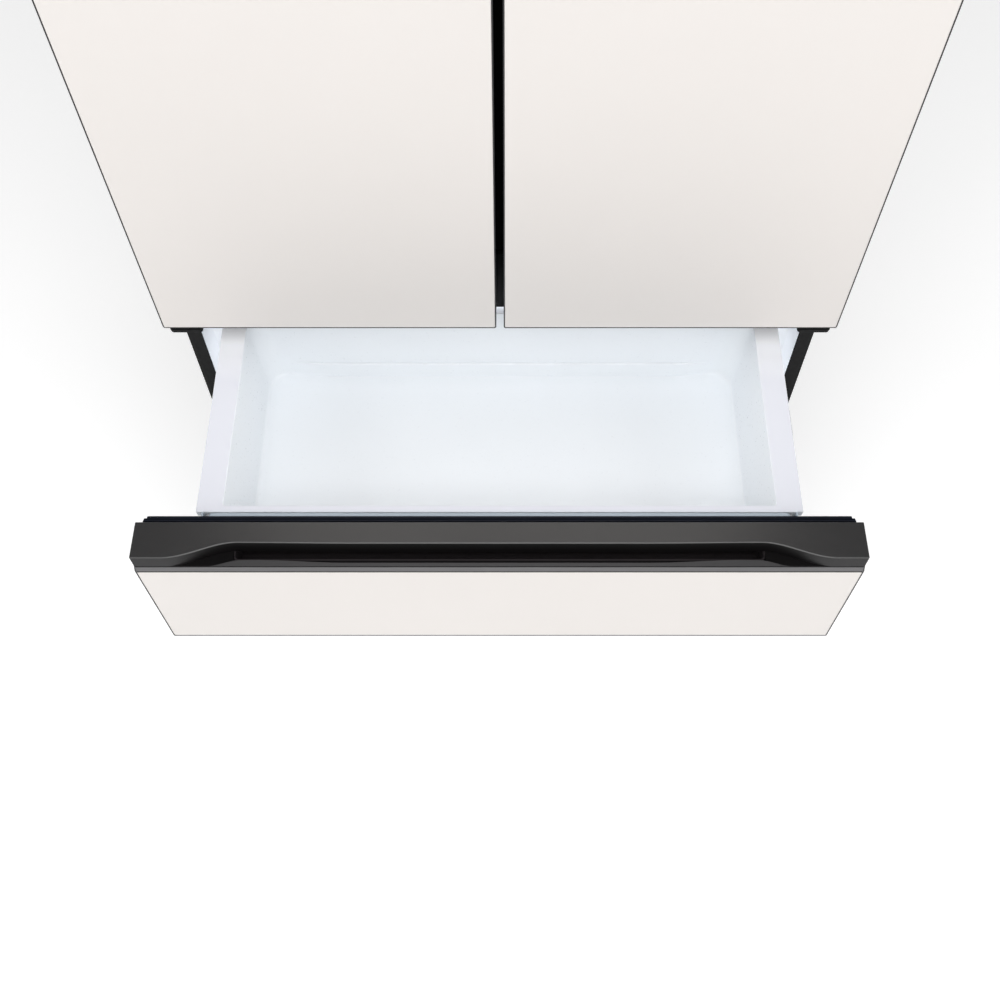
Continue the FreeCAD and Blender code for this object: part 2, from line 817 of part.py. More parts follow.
def tub(front_top, depth):
    """An open bin with wide side rims, tapered walls and a ramp along the rear of its floor."""
    top = front_top - bin_rim_drop
    near = front_y + bin_front
    far = near + bin_length
    mouth_near = near + bin_front_rim
    mouth_far = far - bin_back_rim
    inside = tapered(bin_mouth_half, mouth_near, mouth_far, top, depth - bin_wall, bin_draft)
    wall = bin_wall
    body = tapered(bin_mouth_half + wall, mouth_near - wall, mouth_far + wall, top, depth, bin_draft)
    rim = wide_box(bin_rim_half, near, top - wall, far, top)
    skirt = wide_box(bin_rim_half, near, top - bin_skirt, far, top).cut(
        wide_box(bin_rim_half - wall, near + wall, top - bin_skirt, far - wall, top - wall))
    shell = fused([body, rim, skirt]).cut(inside)
    floor = top - depth + wall
    ramp_half = bin_mouth_half - bin_draft
    ramp_far = mouth_far - bin_draft
    ramp = prism([V(-ramp_half, ramp_far, floor), V(-ramp_half, ramp_far - bin_ramp_depth, floor),
                  V(-ramp_half, ramp_far + bin_draft * bin_ramp_height / depth, floor + bin_ramp_height)],
                 V(2 * ramp_half, 0, 0))
    return fused([shell, ramp.common(inside)])


def rail_span(front_top):
    """The lowest and highest level of the outer rail."""
    top = front_top - rail_drop
    return top - rail_height, top


def channel(web_x0, web_x1, reach_x0, reach_x1, y0, y1, z0, z1):
    """A channel section along Y: an upright web and a flange at its top and bottom."""
    pieces = [
        box(web_x0, y0, z0, web_x1, y1, z1),
        box(reach_x0, y0, z0, reach_x1, y1, z0 + rail_sheet),
        box(reach_x0, y0, z1 - rail_sheet, reach_x1, y1, z1),
    ]
    return fused(pieces)


def outer_rail(front_top):
    z0, z1 = rail_span(front_top)
    y0 = front_y + rail_start
    y1 = y0 + rail_length
    web = liner_half - rail_bracket
    block = box(web, y0 + liner_lip, z0, liner_half, y1, z1)
    rail = channel(web - rail_sheet, web, web - rail_sheet - rail_flange, web, y0, y1, z0, z1)
    return fused([rail, block])


def outer_rails():
    drawer = outer_rail(drawer_front_top)
    freezer = outer_rail(freezer_front_top)
    return Part.makeCompound([drawer, mirrored(drawer), freezer, mirrored(freezer)])


def middle_rail(front_top):
    z0, z1 = rail_span(front_top)
    step = rail_sheet + rail_play
    y0 = front_y + rail_start
    web = liner_half - rail_bracket - step
    return channel(web - rail_sheet, web, web - rail_sheet - rail_flange, web,
                   y0, y0 + rail_length, z0 + step, z1 - step)


def inner_rail_step():
    """How far the inner rail lies inside the outer one, past the middle rail."""
    return 2 * (rail_sheet + rail_play)


def inner_rail_nose():
    """The innermost X of the inner rail."""
    return liner_half - rail_bracket - inner_rail_step() - rail_sheet - rail_flange - rail_nose


def inner_rail(front_top):
    """The rail that the front is fastened to; its upstand carries the bin's rim."""
    z0, z1 = rail_span(front_top)
    step = inner_rail_step()
    y0 = front_y + front_depth
    y1 = front_y + rail_start + rail_length
    web = liner_half - rail_bracket - step
    nose = inner_rail_nose()
    rail = channel(nose, nose + rail_web, nose, web, y0, y1, z0 + step, z1 - step)
    rim_under = front_top - bin_rim_drop - bin_wall
    upstand_end = front_y + bin_front + bin_length - bin_wall - seal_gap
    upstand = box(nose, y0, z1 - step, nose + rail_web, upstand_end, rim_under)
    slot = box(nose, front_y + bin_front - seal_gap, front_top - bin_rim_drop - bin_skirt - seal_gap,
               nose + rail_web, front_y + bin_front + bin_wall + seal_gap, rim_under)
    return fused([rail, upstand.cut(slot)])


def drawer_pieces(bottom, top, bin_depth):
    """A closed drawer: front panel, edge frame, handle cap, foamed core, seal, bin and inner rails."""
    rear = front_y + front_depth
    base = top - cap_height
    strip_bottom = base - trim_height
    inner = half_product - edge_trim
    low = bottom + edge_trim
    panel = wide_box(inner, front_y, low, front_y + panel_thickness, strip_bottom)
    frame = wide_box(half_product, front_y, bottom, rear, base)
    frame = frame.cut([
        wide_box(inner, front_y, low, front_y + trim_depth, strip_bottom),
        wide_box(inner, front_y + trim_depth, low, rear, base),
    ])
    core = wide_box(inner, front_y + panel_thickness, low, front_y + trim_depth, strip_bottom)
    core = core.fuse(wide_box(inner, front_y + trim_depth, low, rear, base)).cut(pocket_cup(base))
    plate = wide_box(inner_rail_nose() - back_plate_side_gap, rear, bottom + back_plate_margin,
                     rear + back_plate_depth, top - back_plate_top)
    return {
        "front_panel": panel,
        "front_frame": frame,
        "handle_cap": handle_cap(top),
        "front_core": fused([core, plate]),
        "gasket": gasket(-half_product, bottom, half_product, top, gasket_top_inset),
        "bin": tub(top, bin_depth),
        "inner_rails": both_sides(inner_rail(top)),
    }


def build():
    nodes = {
        "cabinet_shell": cabinet_shell(),
        "back_panel": back_panel(),
        "base_pan": base_pan(),
        "insulation_foam": insulation_foam(),
        "fresh_food_liner": fresh_food_liner(),
        "drawer_liner": drawer_liner(),
        "freezer_liner": freezer_liner(),
        "cabinet_front_frame": front_frame(),
        "divider_bars": divider_bars(),
        "centre_mullion": centre_mullion(),
        "door_hinges": door_hinges(),
        "hinge_screws": hinge_screws(),
        "hinge_covers": hinge_covers(),
        "glass_shelves": glass_shelves(),
        "air_duct_cover": air_duct_cover(),
        "ceiling_light": ceiling_light(),
        "evaporator": evaporator(),
        "evaporator_cover": evaporator_cover(),
        "fan_motors": fan_motors(),
        "condenser_coil": condenser_coil(),
        "compressor": compressor(),
        "compressor_mounts": compressor_mounts(),
        "drain_pan": drain_pan(),
        "machine_cover": machine_cover(),
        "power_inlet": power_inlet(),
        "toe_grille": toe_grille(),
        "roller_axles": roller_axles(),
        "right_rear_roller": rear_roller(),
        "left_rear_roller": mirrored(rear_roller()),
        "right_levelling_leg": levelling_leg(),
        "left_levelling_leg": mirrored(levelling_leg()),
        "condenser_fan": placed_condenser(fan_blade()),
        "evaporator_fan": placed_evaporator(fan_blade()),
        "outer_rails": outer_rails(),
        "freezer_middle_rails": both_sides(middle_rail(freezer_front_top)),
    }
    for name, shape in door_pieces().items():
        nodes["right_door_" + name] = shape
        nodes["left_door_" + name] = mirrored(shape)
    for name, shape in drawer_pieces(freezer_front_bottom, freezer_front_top, freezer_bin_depth).items():
        nodes["freezer_" + name] = shape
    opened = V(0, -drawer_open, 0)
    for name, shape in drawer_pieces(drawer_front_bottom, drawer_front_top, drawer_bin_depth).items():
        nodes["drawer_" + name] = moved(shape, opened)
    nodes["drawer_middle_rails"] = moved(both_sides(middle_rail(drawer_front_top)), opened * 0.5)
    return nodes


def main():
    os.makedirs("parts", exist_ok=True)
    for name, shape in build().items():
        shape.exportStep(os.path.join("parts", name + ".step"))


main()
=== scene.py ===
import json
import math

import bmesh
import bpy
from bpy.props import FloatProperty, FloatVectorProperty, PointerProperty
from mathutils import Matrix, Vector

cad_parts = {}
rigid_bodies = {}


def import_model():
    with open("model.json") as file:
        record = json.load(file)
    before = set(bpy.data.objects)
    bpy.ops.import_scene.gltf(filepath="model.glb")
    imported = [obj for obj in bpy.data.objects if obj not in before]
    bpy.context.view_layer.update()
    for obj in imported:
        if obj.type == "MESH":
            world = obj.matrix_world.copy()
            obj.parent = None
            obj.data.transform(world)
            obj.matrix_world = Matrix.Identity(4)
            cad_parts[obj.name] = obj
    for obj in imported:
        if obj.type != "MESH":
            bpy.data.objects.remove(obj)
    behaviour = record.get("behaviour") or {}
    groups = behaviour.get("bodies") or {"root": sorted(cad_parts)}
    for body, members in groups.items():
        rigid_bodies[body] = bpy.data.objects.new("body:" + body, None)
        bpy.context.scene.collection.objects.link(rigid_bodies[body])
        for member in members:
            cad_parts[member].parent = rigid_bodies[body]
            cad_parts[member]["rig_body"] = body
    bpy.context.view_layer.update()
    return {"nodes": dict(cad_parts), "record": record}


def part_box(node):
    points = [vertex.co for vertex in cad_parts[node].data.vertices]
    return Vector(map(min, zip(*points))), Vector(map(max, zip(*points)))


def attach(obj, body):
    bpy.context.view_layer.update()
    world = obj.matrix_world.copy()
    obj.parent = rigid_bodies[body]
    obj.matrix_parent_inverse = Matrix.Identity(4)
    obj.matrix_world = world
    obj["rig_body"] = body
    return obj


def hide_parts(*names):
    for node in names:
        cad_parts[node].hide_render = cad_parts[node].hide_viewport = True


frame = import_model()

MM = 0.001
X, Y, Z = 0, 1, 2
DOORS = ("left", "right")
DRAWERS = ("drawer", "freezer")

# How close two places are that count as one, and two corners that are merged
SNAP = 0.05 * MM
MERGE = 0.01 * MM
# How nearly an edge or a face has to follow an axis, and the angle from which an edge is steep
STRAIGHT = 0.999
ALIGNED = 0.99
STEEP = math.radians(60.0)
# How much of a face's normal has to look one way where the face may lean
LEANING = 0.5

bl_info = {
    "name": "Convertible drawer refrigerator",
    "version": (1, 0, 0),
    "blender": (4, 5, 0),
    "location": "View3D > Sidebar > Refrigerator",
    "description": "Models the panels, handles, bins, seals and liners of a refrigerator on its frame",
    "category": "Object",
}


def length(title, text, millimetres):
    """A size in metres that the sidebar shows with its unit."""
    return FloatProperty(name=title, description=text, default=millimetres * MM, min=0.0, unit="LENGTH")


def colour(title, text, value):
    """A linear colour that the sidebar shows with a picker."""
    return FloatVectorProperty(name=title, description=text, default=value, size=3, subtype="COLOR",
                               min=0.0, max=1.0)


def amount(title, text, value, **kind):
    """A number that the sidebar shows, with its unit or subtype."""
    return FloatProperty(name=title, description=text, default=value, **kind)


class RefrigeratorSizes(bpy.types.PropertyGroup):
    """Sizes of the rounded and moulded details."""
    panel_round: length("Panel corner", "Radius of a front panel's corners", 2.0)
    panel_bevel: length("Panel bevel", "Width of the ground edge of a front panel", 1.0)
    frame_round: length("Frame corner", "Radius of an edge frame's corners", 3.0)
    cap_edge: length("Cap edge", "Rounding of the handle cap's front edge", 1.3)
    scoop_start: length("Scoop start", "Half width where the cap's front edge begins to curve back", 412.0)
    scoop_end: length("Scoop end", "Half width where the curve reaches the straight middle", 322.0)
    scoop_depth: length("Scoop depth", "How far the cap's front edge curves back in the middle", 20.0)
    scoop_bow: length("Scoop bow", "How much deeper the scoop is near its ends", 1.2)
    lip_start: length("Lip start", "Half width where the pocket's lip rises", 364.0)
    lip_full: length("Lip full", "Half width where the lip is deepest", 318.0)
    lip_depth: length("Lip depth", "Depth of the lip in the middle", 4.0)
    lip_rise: length("Lip rise", "Height of the lip in the middle", 2.0)
    cap_inset: length("Cap inset", "How far the cap's ends stand back from the front's sides", 2.5)
    strip_groove: length("Strip groove", "Height of the dark line above and below the trim strip", 2.9)
    strip_drop: length("Strip drop", "How far a drawer's trim strip reaches down over its panel's top", 4.2)
    panel_foot: length("Panel foot", "How far a drawer panel's frame covers its bottom edge", 0.9)
    bin_front_corner: length("Bin front corner", "Radius of a bin's front upright corners", 4.0)
    bin_rear_corner: length("Bin rear corner", "Radius of a bin's rear upright corners", 28.0)
    bin_floor: length("Bin floor", "Radius between a bin's floor and walls", 9.0)
    bin_step_depth: length("Bin step depth", "Depth of the moulded step along a bin's rear wall", 4.5)
    bin_step_height: length("Bin step height", "Height of that step", 26.0)
    bin_step_fade: length("Bin step fade", "Length over which the step's ends fade into the wall", 60.0)
    bin_wall: length("Bin wall", "Thickness of a drawer bin", 3.0)
    bin_side_rim: length("Bin side rim", "Width of a bin's flat side rims", 34.0)
    bin_front_rim: length("Bin front rim", "Width of a bin's front rim", 9.5)
    bin_back_rim: length("Bin back rim", "Width of a bin's rear rim", 12.0)
    bin_skirt: length("Bin skirt", "Depth of the turned-down edge of a bin's rim", 10.0)
    bin_draft: length("Bin draft", "How much a bin narrows on each side towards its floor", 10.0)
    plate_half: length("Plate half width", "Half width of a drawer front's inner plate", 369.0)
    plate_drop: length("Plate drop", "From a seal's top to the inner plate's top", 16.0)
    plate_foot: length("Plate foot", "From a seal's bottom to the inner plate's bottom", 27.0)
    hook_start: length("Hook place", "Half width where the bin's hooks stand", 376.4)
    liner_wall: length("Liner wall", "Thickness of a compartment's liner", 2.0)
    liner_lip: length("Liner lip", "Depth of a liner's straight lip", 44.0)
    liner_slope: length("Liner slope", "Depth of the slope behind the lip", 26.0)
    liner_step: length("Liner step", "How much the slope narrows a compartment on each side", 23.0)
    liner_round: length("Liner corner", "Radius of a compartment's corners", 14.0)
    freezer_step_depth: length("Freezer step depth", "Depth of the freezer below its step", 380.0)
    freezer_step_level: length("Freezer step level", "Height of that step above the floor", 305.0)
    dyke_bottom: length("Dyke bottom", "From a door's bottom edge to its raised inner face", 122.0)
    dyke_top: length("Dyke top", "From a door's top edge to its raised inner face", 90.0)
    dyke_rim: length("Dyke rim", "Width of the rim of a door's raised inner face", 26.0)
    dyke_round: length("Dyke corner", "Radius of that face's corners, wider than its rim", 46.0)
    dyke_margin: length("Dyke margin", "From the door bins to the sides of the raised face", 24.0)
    door_bin_height: length("Door bin height", "Height of a door bin", 95.0)
    door_bin_band: length("Door bin band", "Height of the band round a door bin's mouth", 13.0)


class RefrigeratorFinish(bpy.types.PropertyGroup):
    """Colours of the visible surfaces, linear."""
    panel: colour("Panels", "Back-painted satin glass of the doors and drawers", (0.69, 0.657, 0.632))
    trim: colour("Edge frames", "Thin frames round the panels", (0.026, 0.025, 0.026))
    strip: colour("Trim strip", "Strip along the top of a drawer panel", (0.10, 0.098, 0.102))
    cap: colour("Handle caps", "Satin charcoal of the handle caps", (0.013, 0.0125, 0.013))
    pocket: colour("Pockets", "Inside of the finger pockets", (0.0035, 0.003, 0.0032))
    bin: colour("Bins", "Cool white of the drawer bins", (0.865, 0.895, 0.925))
    # The inner plates are white plastic drawn in a cool grey: painted shade between the seal and the bin.
    plate: colour("Inner plates", "Cool grey of the drawer fronts' inner plates", (0.43, 0.50, 0.565))
    # The rims' colour is the bins' white drawn darker and bluer: painted shade against the light from above.
    rim: colour("Bin rims", "Satin white of the bins' rims", (0.70, 0.715, 0.775))
    liner: colour("Liners", "White of the compartments and the doors' inner sides", (0.88, 0.90, 0.93))
    cabinet: colour("Cabinet", "Paint of the cabinet's sides and top", (0.075, 0.075, 0.078))
    flange: colour("Cabinet front", "Paint of the cabinet's front frame", (0.008, 0.008, 0.0085))
    seal: colour("Seals", "Rubber of the door and drawer seals", (0.0042, 0.0056, 0.0105))
    floor: colour("Floor", "Plain pale studio floor", (0.93, 0.93, 0.93))


class RefrigeratorView(bpy.types.PropertyGroup):
    """Camera and light."""
    camera: FloatVectorProperty(name="Camera place", description="Where the photograph was taken from",
                                default=(0.0082, -1.1891, 2.0557), size=3, subtype="TRANSLATION",
                                unit="LENGTH")
    tilt: amount("Camera tilt", "How far the camera looks down", math.radians(60.34), subtype="ANGLE")
    lens: amount("Focal length", "Lens on a 36 mm wide square sensor, in millimetres", 42.954)
    shift: amount("Sideways shift", "Share of the frame that the lens is shifted by", -0.0061)
    sky: amount("Ambient light", "Strength of the white surroundings", 0.62)
    rear_sky: amount("Rear ambient light", "Share of that light behind the object", 0.25, subtype="FACTOR")
    key: amount("Key light", "Power of the lamp straight above the drawer", 30.0, unit="POWER")
    fill: amount("Fill light", "Power of the large lamp in front", 25.5, unit="POWER")
    side: amount("Side lights", "Power of the soft lamp on each side", 15.0, unit="POWER")
    drawer: amount("Drawer light", "Power of the light inside the drawer's space", 0.8, unit="POWER")
    # Painted light: the drawer space's white walls glow though they are no lamp.
    painted_liner_glow: amount("Drawer space glow", "Light of the drawer space's white walls", 0.16)
    glow: amount("Floor glow", "Light that the white floor gives by itself", 0.34)


def sizes():
    """The sizes that the sidebar holds."""
    return bpy.context.scene.refrigerator_sizes


def finish_colours():
    """The colours that the sidebar holds."""
    return bpy.context.scene.refrigerator_finish


# Every finish by its name, filled by the first operator
finishes = {}


# Modelling helpers

def start_clean():
    """Object mode with nothing selected."""
    if bpy.context.mode != "OBJECT":
        bpy.ops.object.mode_set(mode="OBJECT")
    bpy.ops.object.select_all(action="DESELECT")


def choose(piece):
    """Object mode with one piece selected and active."""
    start_clean()
    piece.select_set(True)
    bpy.context.view_layer.objects.active = piece


def edit(piece):
    """Edit mode on one piece."""
    choose(piece)
    bpy.ops.object.mode_set(mode="EDIT")


def block(name, low, high):
    """A cube primitive between two corners, with its place in its mesh, left in edit mode."""
    start_clean()
    low, high = Vector(low), Vector(high)
    bpy.ops.mesh.primitive_cube_add(size=1.0, location=(low + high) / 2, scale=high - low)
    piece = bpy.context.object
    piece.name = name
    piece.data.name = name
    bpy.ops.object.transform_apply(location=True, rotation=True, scale=True)
    edit(piece)
    return piece


def at(value, place):
    """Whether a coordinate lies at a place."""
    return abs(value - place) < SNAP


def middle(part):
    """The middle of an edge's or a face's corners."""
    return sum((corner.co for corner in part.verts), Vector()) / len(part.verts)


def ends_at(axis, place):
    """A test for an edge whose two ends lie on a plane."""
    return lambda edge: all(at(corner.co[axis], place) for corner in edge.verts)


def runs_along(axis):
    """A test for an edge that runs along an axis."""
    def test(edge):
        step = edge.verts[1].co - edge.verts[0].co
        return abs(step[axis]) > STRAIGHT * step.length
    return test


def faces_to(axis, sign):
    """A test for a face that looks along an axis."""
    return lambda face: face.normal[axis] * sign > ALIGNED


def steep(edge):
    """Whether two faces meet steeply at an edge."""
    return not edge.is_boundary and edge.calc_face_angle() > STEEP


def every(part):
    """A test that accepts anything."""
    return True


def both(*tests):
    """A test for what all of the tests accept."""
    return lambda part: all(test(part) for test in tests)


def either(*tests):
    """A test for what one of the tests accepts."""
    return lambda part: any(test(part) for test in tests)


def unless(test):
    """A test for what another test refuses."""
    return lambda part: not test(part)


def pick(kind, test):
    """Selects the parts of the edited mesh that the test accepts: FACE or EDGE."""
    bpy.ops.mesh.select_mode(type=kind)
    bpy.ops.mesh.select_all(action="DESELECT")
    data = bpy.context.object.data
    mesh = bmesh.from_edit_mesh(data)
    found = [part for part in (mesh.faces if kind == "FACE" else mesh.edges) if test(part)]
    if not found:
        raise RuntimeError("nothing to select on " + bpy.context.object.name)
    for part in found:
        part.select_set(True)
    mesh.select_flush_mode()
    bmesh.update_edit_mesh(data)


def round_edges(test, radius, steps):
    """Rounds the edges that the test accepts."""
    pick("EDGE", test)
    bpy.ops.mesh.bevel(offset=radius, offset_type="OFFSET", segments=steps, profile=0.5, affect="EDGES",
                       clamp_overlap=True)


def remove_faces(test):
    """Deletes the faces that the test accepts."""
    pick("FACE", test)
    bpy.ops.mesh.delete(type="FACE")


def extrude(offset):
    """Extrudes what is picked."""
    bpy.ops.mesh.extrude_region_move(TRANSFORM_OT_translate={"value": offset})


def inset(border, one_by_one=False):
    """Insets the picked faces, together or one by one."""
    bpy.ops.mesh.inset(thickness=border, depth=0.0, use_individual=one_by_one)


def slice_at(axis, places):
    """Cuts the edited mesh by planes across an axis."""
    normal = [0.0, 0.0, 0.0]
    normal[axis] = 1.0
    for place in places:
        spot = [0.0, 0.0, 0.0]
        spot[axis] = place
        bpy.ops.mesh.select_all(action="SELECT")
        bpy.ops.mesh.bisect(plane_co=spot, plane_no=normal)


def shape(move):
    """Moves the corners of the edited mesh by a rule that changes a copy of each place."""
    data = bpy.context.object.data
    mesh = bmesh.from_edit_mesh(data)
    for corner in mesh.verts:
        corner.co = move(corner.co.copy())
    mesh.normal_update()
    bmesh.update_edit_mesh(data)


def tunnel(axis, wall):
    """Makes a block a frame: insets its two faces across an axis and joins the openings."""
    pick("FACE", either(faces_to(axis, 1), faces_to(axis, -1)))
    inset(wall)
    bpy.ops.mesh.bridge_edge_loops()


def turn_faces(inside=False):
    """Merges the edited mesh's doubles and turns its faces outwards, or to its hollow side."""
    bpy.ops.mesh.select_all(action="SELECT")
    bpy.ops.mesh.remove_doubles(threshold=MERGE)
    bpy.ops.mesh.normals_make_consistent(inside=inside)


def modified(piece, kind, **settings):
    """Adds a modifier to a piece and applies it."""
    choose(piece)
    modifier = piece.modifiers.new(kind.lower(), kind)
    for name, value in settings.items():
        setattr(modifier, name, value)
    bpy.ops.object.modifier_apply(modifier=modifier.name)


def walled(piece, wall, side=-1.0, inside=False):
    """Gives an edited open shell a wall behind its faces, or before them where side is 1."""
    turn_faces(inside)
    modified(piece, "SOLIDIFY", thickness=wall, offset=side)


def smooth(piece, degrees=32.0):
    """Leaves edit mode with faces turned outwards and the edges below an angle smoothed."""
    edit(piece)
    turn_faces()
    choose(piece)
    bpy.ops.object.shade_smooth_by_angle(angle=math.radians(degrees))
    modified(piece, "WEIGHTED_NORMAL", keep_sharp=True)


def paint(piece, first, second=None, where=None):
    """Gives a piece one finish, and a second one on the faces that a test accepts."""
    piece.data.materials.clear()
    piece.data.materials.append(finishes[first])
    if second:
        piece.data.materials.append(finishes[second])
        for face in piece.data.polygons:
            if where(face):
                face.material_index = 1


def dress(piece, first, second=None, where=None, degrees=32.0):
    """Smooths a piece up to an angle and paints it."""
    smooth(piece, degrees)
    paint(piece, first, second, where)


def formed(name, finish, low, high, *rounds):
    """A painted block with rounded edges; each round is a test, a radius and a number of steps."""
    piece = block(name, low, high)
    for test, radius, steps in rounds:
        round_edges(test, radius, steps)
    dress(piece, finish)
    return piece


def softened(node, finish, width):
    """A painted copy of a node's mesh with its sharp edges rounded."""
    same_plane = math.radians(1.0)
    sharp = math.radians(40.0)
    start_clean()
    name = node + "_rounded"
    piece = bpy.data.objects.new(name, frame["nodes"][node].data.copy())
    piece.data.name = name
    bpy.context.scene.collection.objects.link(piece)
    edit(piece)
    bpy.ops.mesh.select_all(action="SELECT")
    bpy.ops.mesh.remove_doubles(threshold=MERGE / 2)
    bpy.ops.mesh.dissolve_limited(angle_limit=same_plane)
    modified(piece, "BEVEL", width=width, segments=2, limit_method="ANGLE", angle_limit=sharp,
             use_clamp_overlap=True)
    dress(piece, finish, degrees=38.0)
    return piece


def joined(pieces):
    """Joins several meshes into the first one."""
    start_clean()
    for piece in pieces:
        piece.select_set(True)
    bpy.context.view_layer.objects.active = pieces[0]
    bpy.ops.object.join()
    return pieces[0]


def copied(piece, name, offset):
    """A copy of a piece with its own mesh, moved by an offset."""
    choose(piece)
    bpy.ops.object.duplicate(linked=False)
    copy = bpy.context.object
    copy.name = name
    copy.data.name = name
    bpy.ops.transform.translate(value=offset)
    bpy.ops.object.transform_apply(location=True, rotation=False, scale=False)
    return copy


def body_of(node):
    """The body that a node belongs to."""
    return frame["nodes"][node]["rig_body"]


def slot_of(node):
    """The record's material slot of a node."""
    return next(part["material_slot"] for part in frame["record"]["subparts"] if part["node"] == node)


def stand_for(piece, node):
    """The piece moves with a node's body and is shown instead of it."""
    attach(piece, body_of(node))
    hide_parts(node)


# Finishes

# Sockets of a Mix node that mixes colours
MIX_SHARE, MIX_FIRST, MIX_SECOND, MIX_RESULT = 0, 6, 7, 2


class Finish:
    """One procedural material on object coordinates."""

    def __init__(self, name, base, roughness, metallic=0.0, specular=0.5):
        self.material = bpy.data.materials.new(name)
        self.material.use_nodes = True
        self.nodes = self.material.node_tree.nodes
        self.links = self.material.node_tree.links
        self.shader = self.nodes["Principled BSDF"]
        self.base = (*base, 1.0)
        self.put("Base Color", self.base)
        self.put("Roughness", roughness)
        self.put("Metallic", metallic)
        self.put("Specular IOR Level", specular)
        self.place = self.nodes.new("ShaderNodeTexCoord").outputs["Object"]

    def feed(self, socket, value):
        """Gives a socket a value, or the output of another node."""
        if isinstance(value, bpy.types.NodeSocket):
            self.links.new(value, socket)
        else:
            socket.default_value = value

    def put(self, name, value):
        """Feeds one of the shader's own sockets."""
        self.feed(self.shader.inputs[name], value)

    def node(self, kind, inputs):
        """A new node with its inputs fed by their names."""
        made = self.nodes.new("ShaderNode" + kind)
        for name, value in inputs.items():
            self.feed(made.inputs[name], value)
        return made

    def noise(self, scale, detail=2.0, stretch=(1.0, 1.0, 1.0)):
        """Clouds of a scale per metre, on coordinates scaled along each axis."""
        spread = self.node("Mapping", {"Vector": self.place, "Scale": stretch}).outputs["Vector"]
        return self.node("TexNoise", {"Vector": spread, "Scale": scale, "Detail": detail}).outputs["Fac"]

    def cells(self, scale):
        """A random grey for each cell, as zinc crystals have."""
        crystals = self.node("TexVoronoi", {"Vector": self.place, "Scale": scale})
        return self.node("SeparateColor", {"Color": crystals.outputs["Color"]}).outputs["Red"]

    def coordinate(self, name):
        """The object coordinate X, Y or Z."""
        return self.node("SeparateXYZ", {"Vector": self.place}).outputs[name]

    def computed(self, operation, *values):
        """The result of a Math node."""
        made = self.nodes.new("ShaderNodeMath")
        made.operation = operation
        for socket, value in zip(made.inputs, values):
            self.feed(socket, value)
        return made.outputs["Value"]

    def ranged(self, value, low, high, start=0.3, stop=0.7):
        """A pattern between start and stop, spread from low to high."""
        return self.node("MapRange", {"Value": value, "From Min": start, "From Max": stop,
                                      "To Min": low, "To Max": high}).outputs["Result"]

    def tint(self, value, other, start=0.3, stop=0.7):
        """Mixes the base colour towards another one by a pattern."""
        mix = self.nodes.new("ShaderNodeMix")
        mix.data_type = "RGBA"
        before = self.shader.inputs["Base Color"].links
        self.feed(mix.inputs[MIX_SHARE], self.ranged(value, low=0.0, high=1.0, start=start, stop=stop))
        self.feed(mix.inputs[MIX_FIRST], before[0].from_socket if before else self.base)
        self.feed(mix.inputs[MIX_SECOND], (*other, 1.0))
        self.put("Base Color", mix.outputs[MIX_RESULT])

    def roughen(self, value, low, high):
        """Spreads the roughness over a pattern."""
        self.put("Roughness", self.ranged(value, low, high))

    def bump(self, value, height, strength=0.6):
        """Relief of a pattern, with its height in millimetres."""
        relief = self.node("Bump", {"Strength": strength, "Distance": height * MM, "Height": value})
        self.put("Normal", relief.outputs["Normal"])

    def glow(self, tint, strength):
        """Light of the surface's own, evenly or by a pattern."""
        self.put("Emission Color", (*tint, 1.0))
        self.put("Emission Strength", strength)


def shaded(base, factor):
    """A colour made darker or lighter."""
    return tuple(channel * factor for channel in base)


def panel_glass():
    """Satin glass with its paint behind: faint clouds, fine specks and an etched face."""
    base = finish_colours().panel
    made = Finish("cream_satin_glass", base, roughness=0.42, specular=0.35)
    made.tint(made.noise(scale=2.5, detail=3.0), shaded(base, 0.965))
    made.tint(made.noise(scale=1400.0, detail=1.0), shaded(base, 0.985))
    made.roughen(made.noise(scale=900.0), low=0.36, high=0.46)
    made.bump(made.noise(scale=1800.0), height=0.004, strength=0.5)
    return made.material


def moulded(name, base, roughness, grain=1100.0, relief=0.02, specular=0.45, variation=0.94):
    """Moulded plastic or satin paint: an even colour, a fine grain and faint clouds."""
    made = Finish(name, base, roughness, specular=specular)
    made.tint(made.noise(scale=6.0, detail=3.0), shaded(base, variation))
    made.roughen(made.noise(grain * 0.4, detail=3.0), low=roughness * 0.9, high=min(1.0, roughness * 1.12))
    made.bump(made.noise(grain), height=relief)
    return made.material


def brushed(name, base, roughness, along, metallic=0.9):
    """Drawn or rolled metal with fine lines along one axis."""
    across = 260.0
    stretch = [across, across, across]
    stretch[along] = 4.0
    made = Finish(name, base, roughness, metallic)
    lines = made.noise(scale=4.0, detail=4.0, stretch=stretch)
    made.tint(lines, shaded(base, 0.82))
    made.roughen(lines, low=roughness * 0.85, high=roughness * 1.25)
    made.bump(lines, height=0.01, strength=0.35)
    return made.material


def zinc():
    """Zinc-plated steel with faint crystals."""
    base = (0.50, 0.52, 0.54)
    made = Finish("zinc_plated_steel", base, roughness=0.38, metallic=0.9)
    flakes = made.cells(scale=160.0)
    made.tint(flakes, shaded(base, 0.95), start=0.0, stop=1.0)
    made.roughen(flakes, low=0.36, high=0.41)
    made.bump(made.noise(scale=300.0), height=0.004, strength=0.3)
    return made.material


def clear(name, tint, roughness, frosting=0.0):
    """Clear plastic or glass with faint draw marks."""
    made = Finish(name, tint, roughness)
    made.put("Transmission Weight", 1.0)
    made.put("IOR", 1.5)
    made.roughen(made.noise(scale=60.0), low=roughness + frosting * 0.6,
                 high=roughness + frosting * 1.4 + 0.02)
    made.bump(made.noise(scale=14.0), height=0.03, strength=0.2)
    return made.material


def lamp_lens():
    """A ribbed opal lens that glows."""
    made = Finish("lamp_lens", (0.93, 0.94, 0.96), roughness=0.4)
    made.glow((1.0, 0.97, 0.92), strength=5.0)
    made.bump(made.noise(scale=3.0, detail=1.0, stretch=(220.0, 1.0, 1.0)), height=0.4)
    return made.material


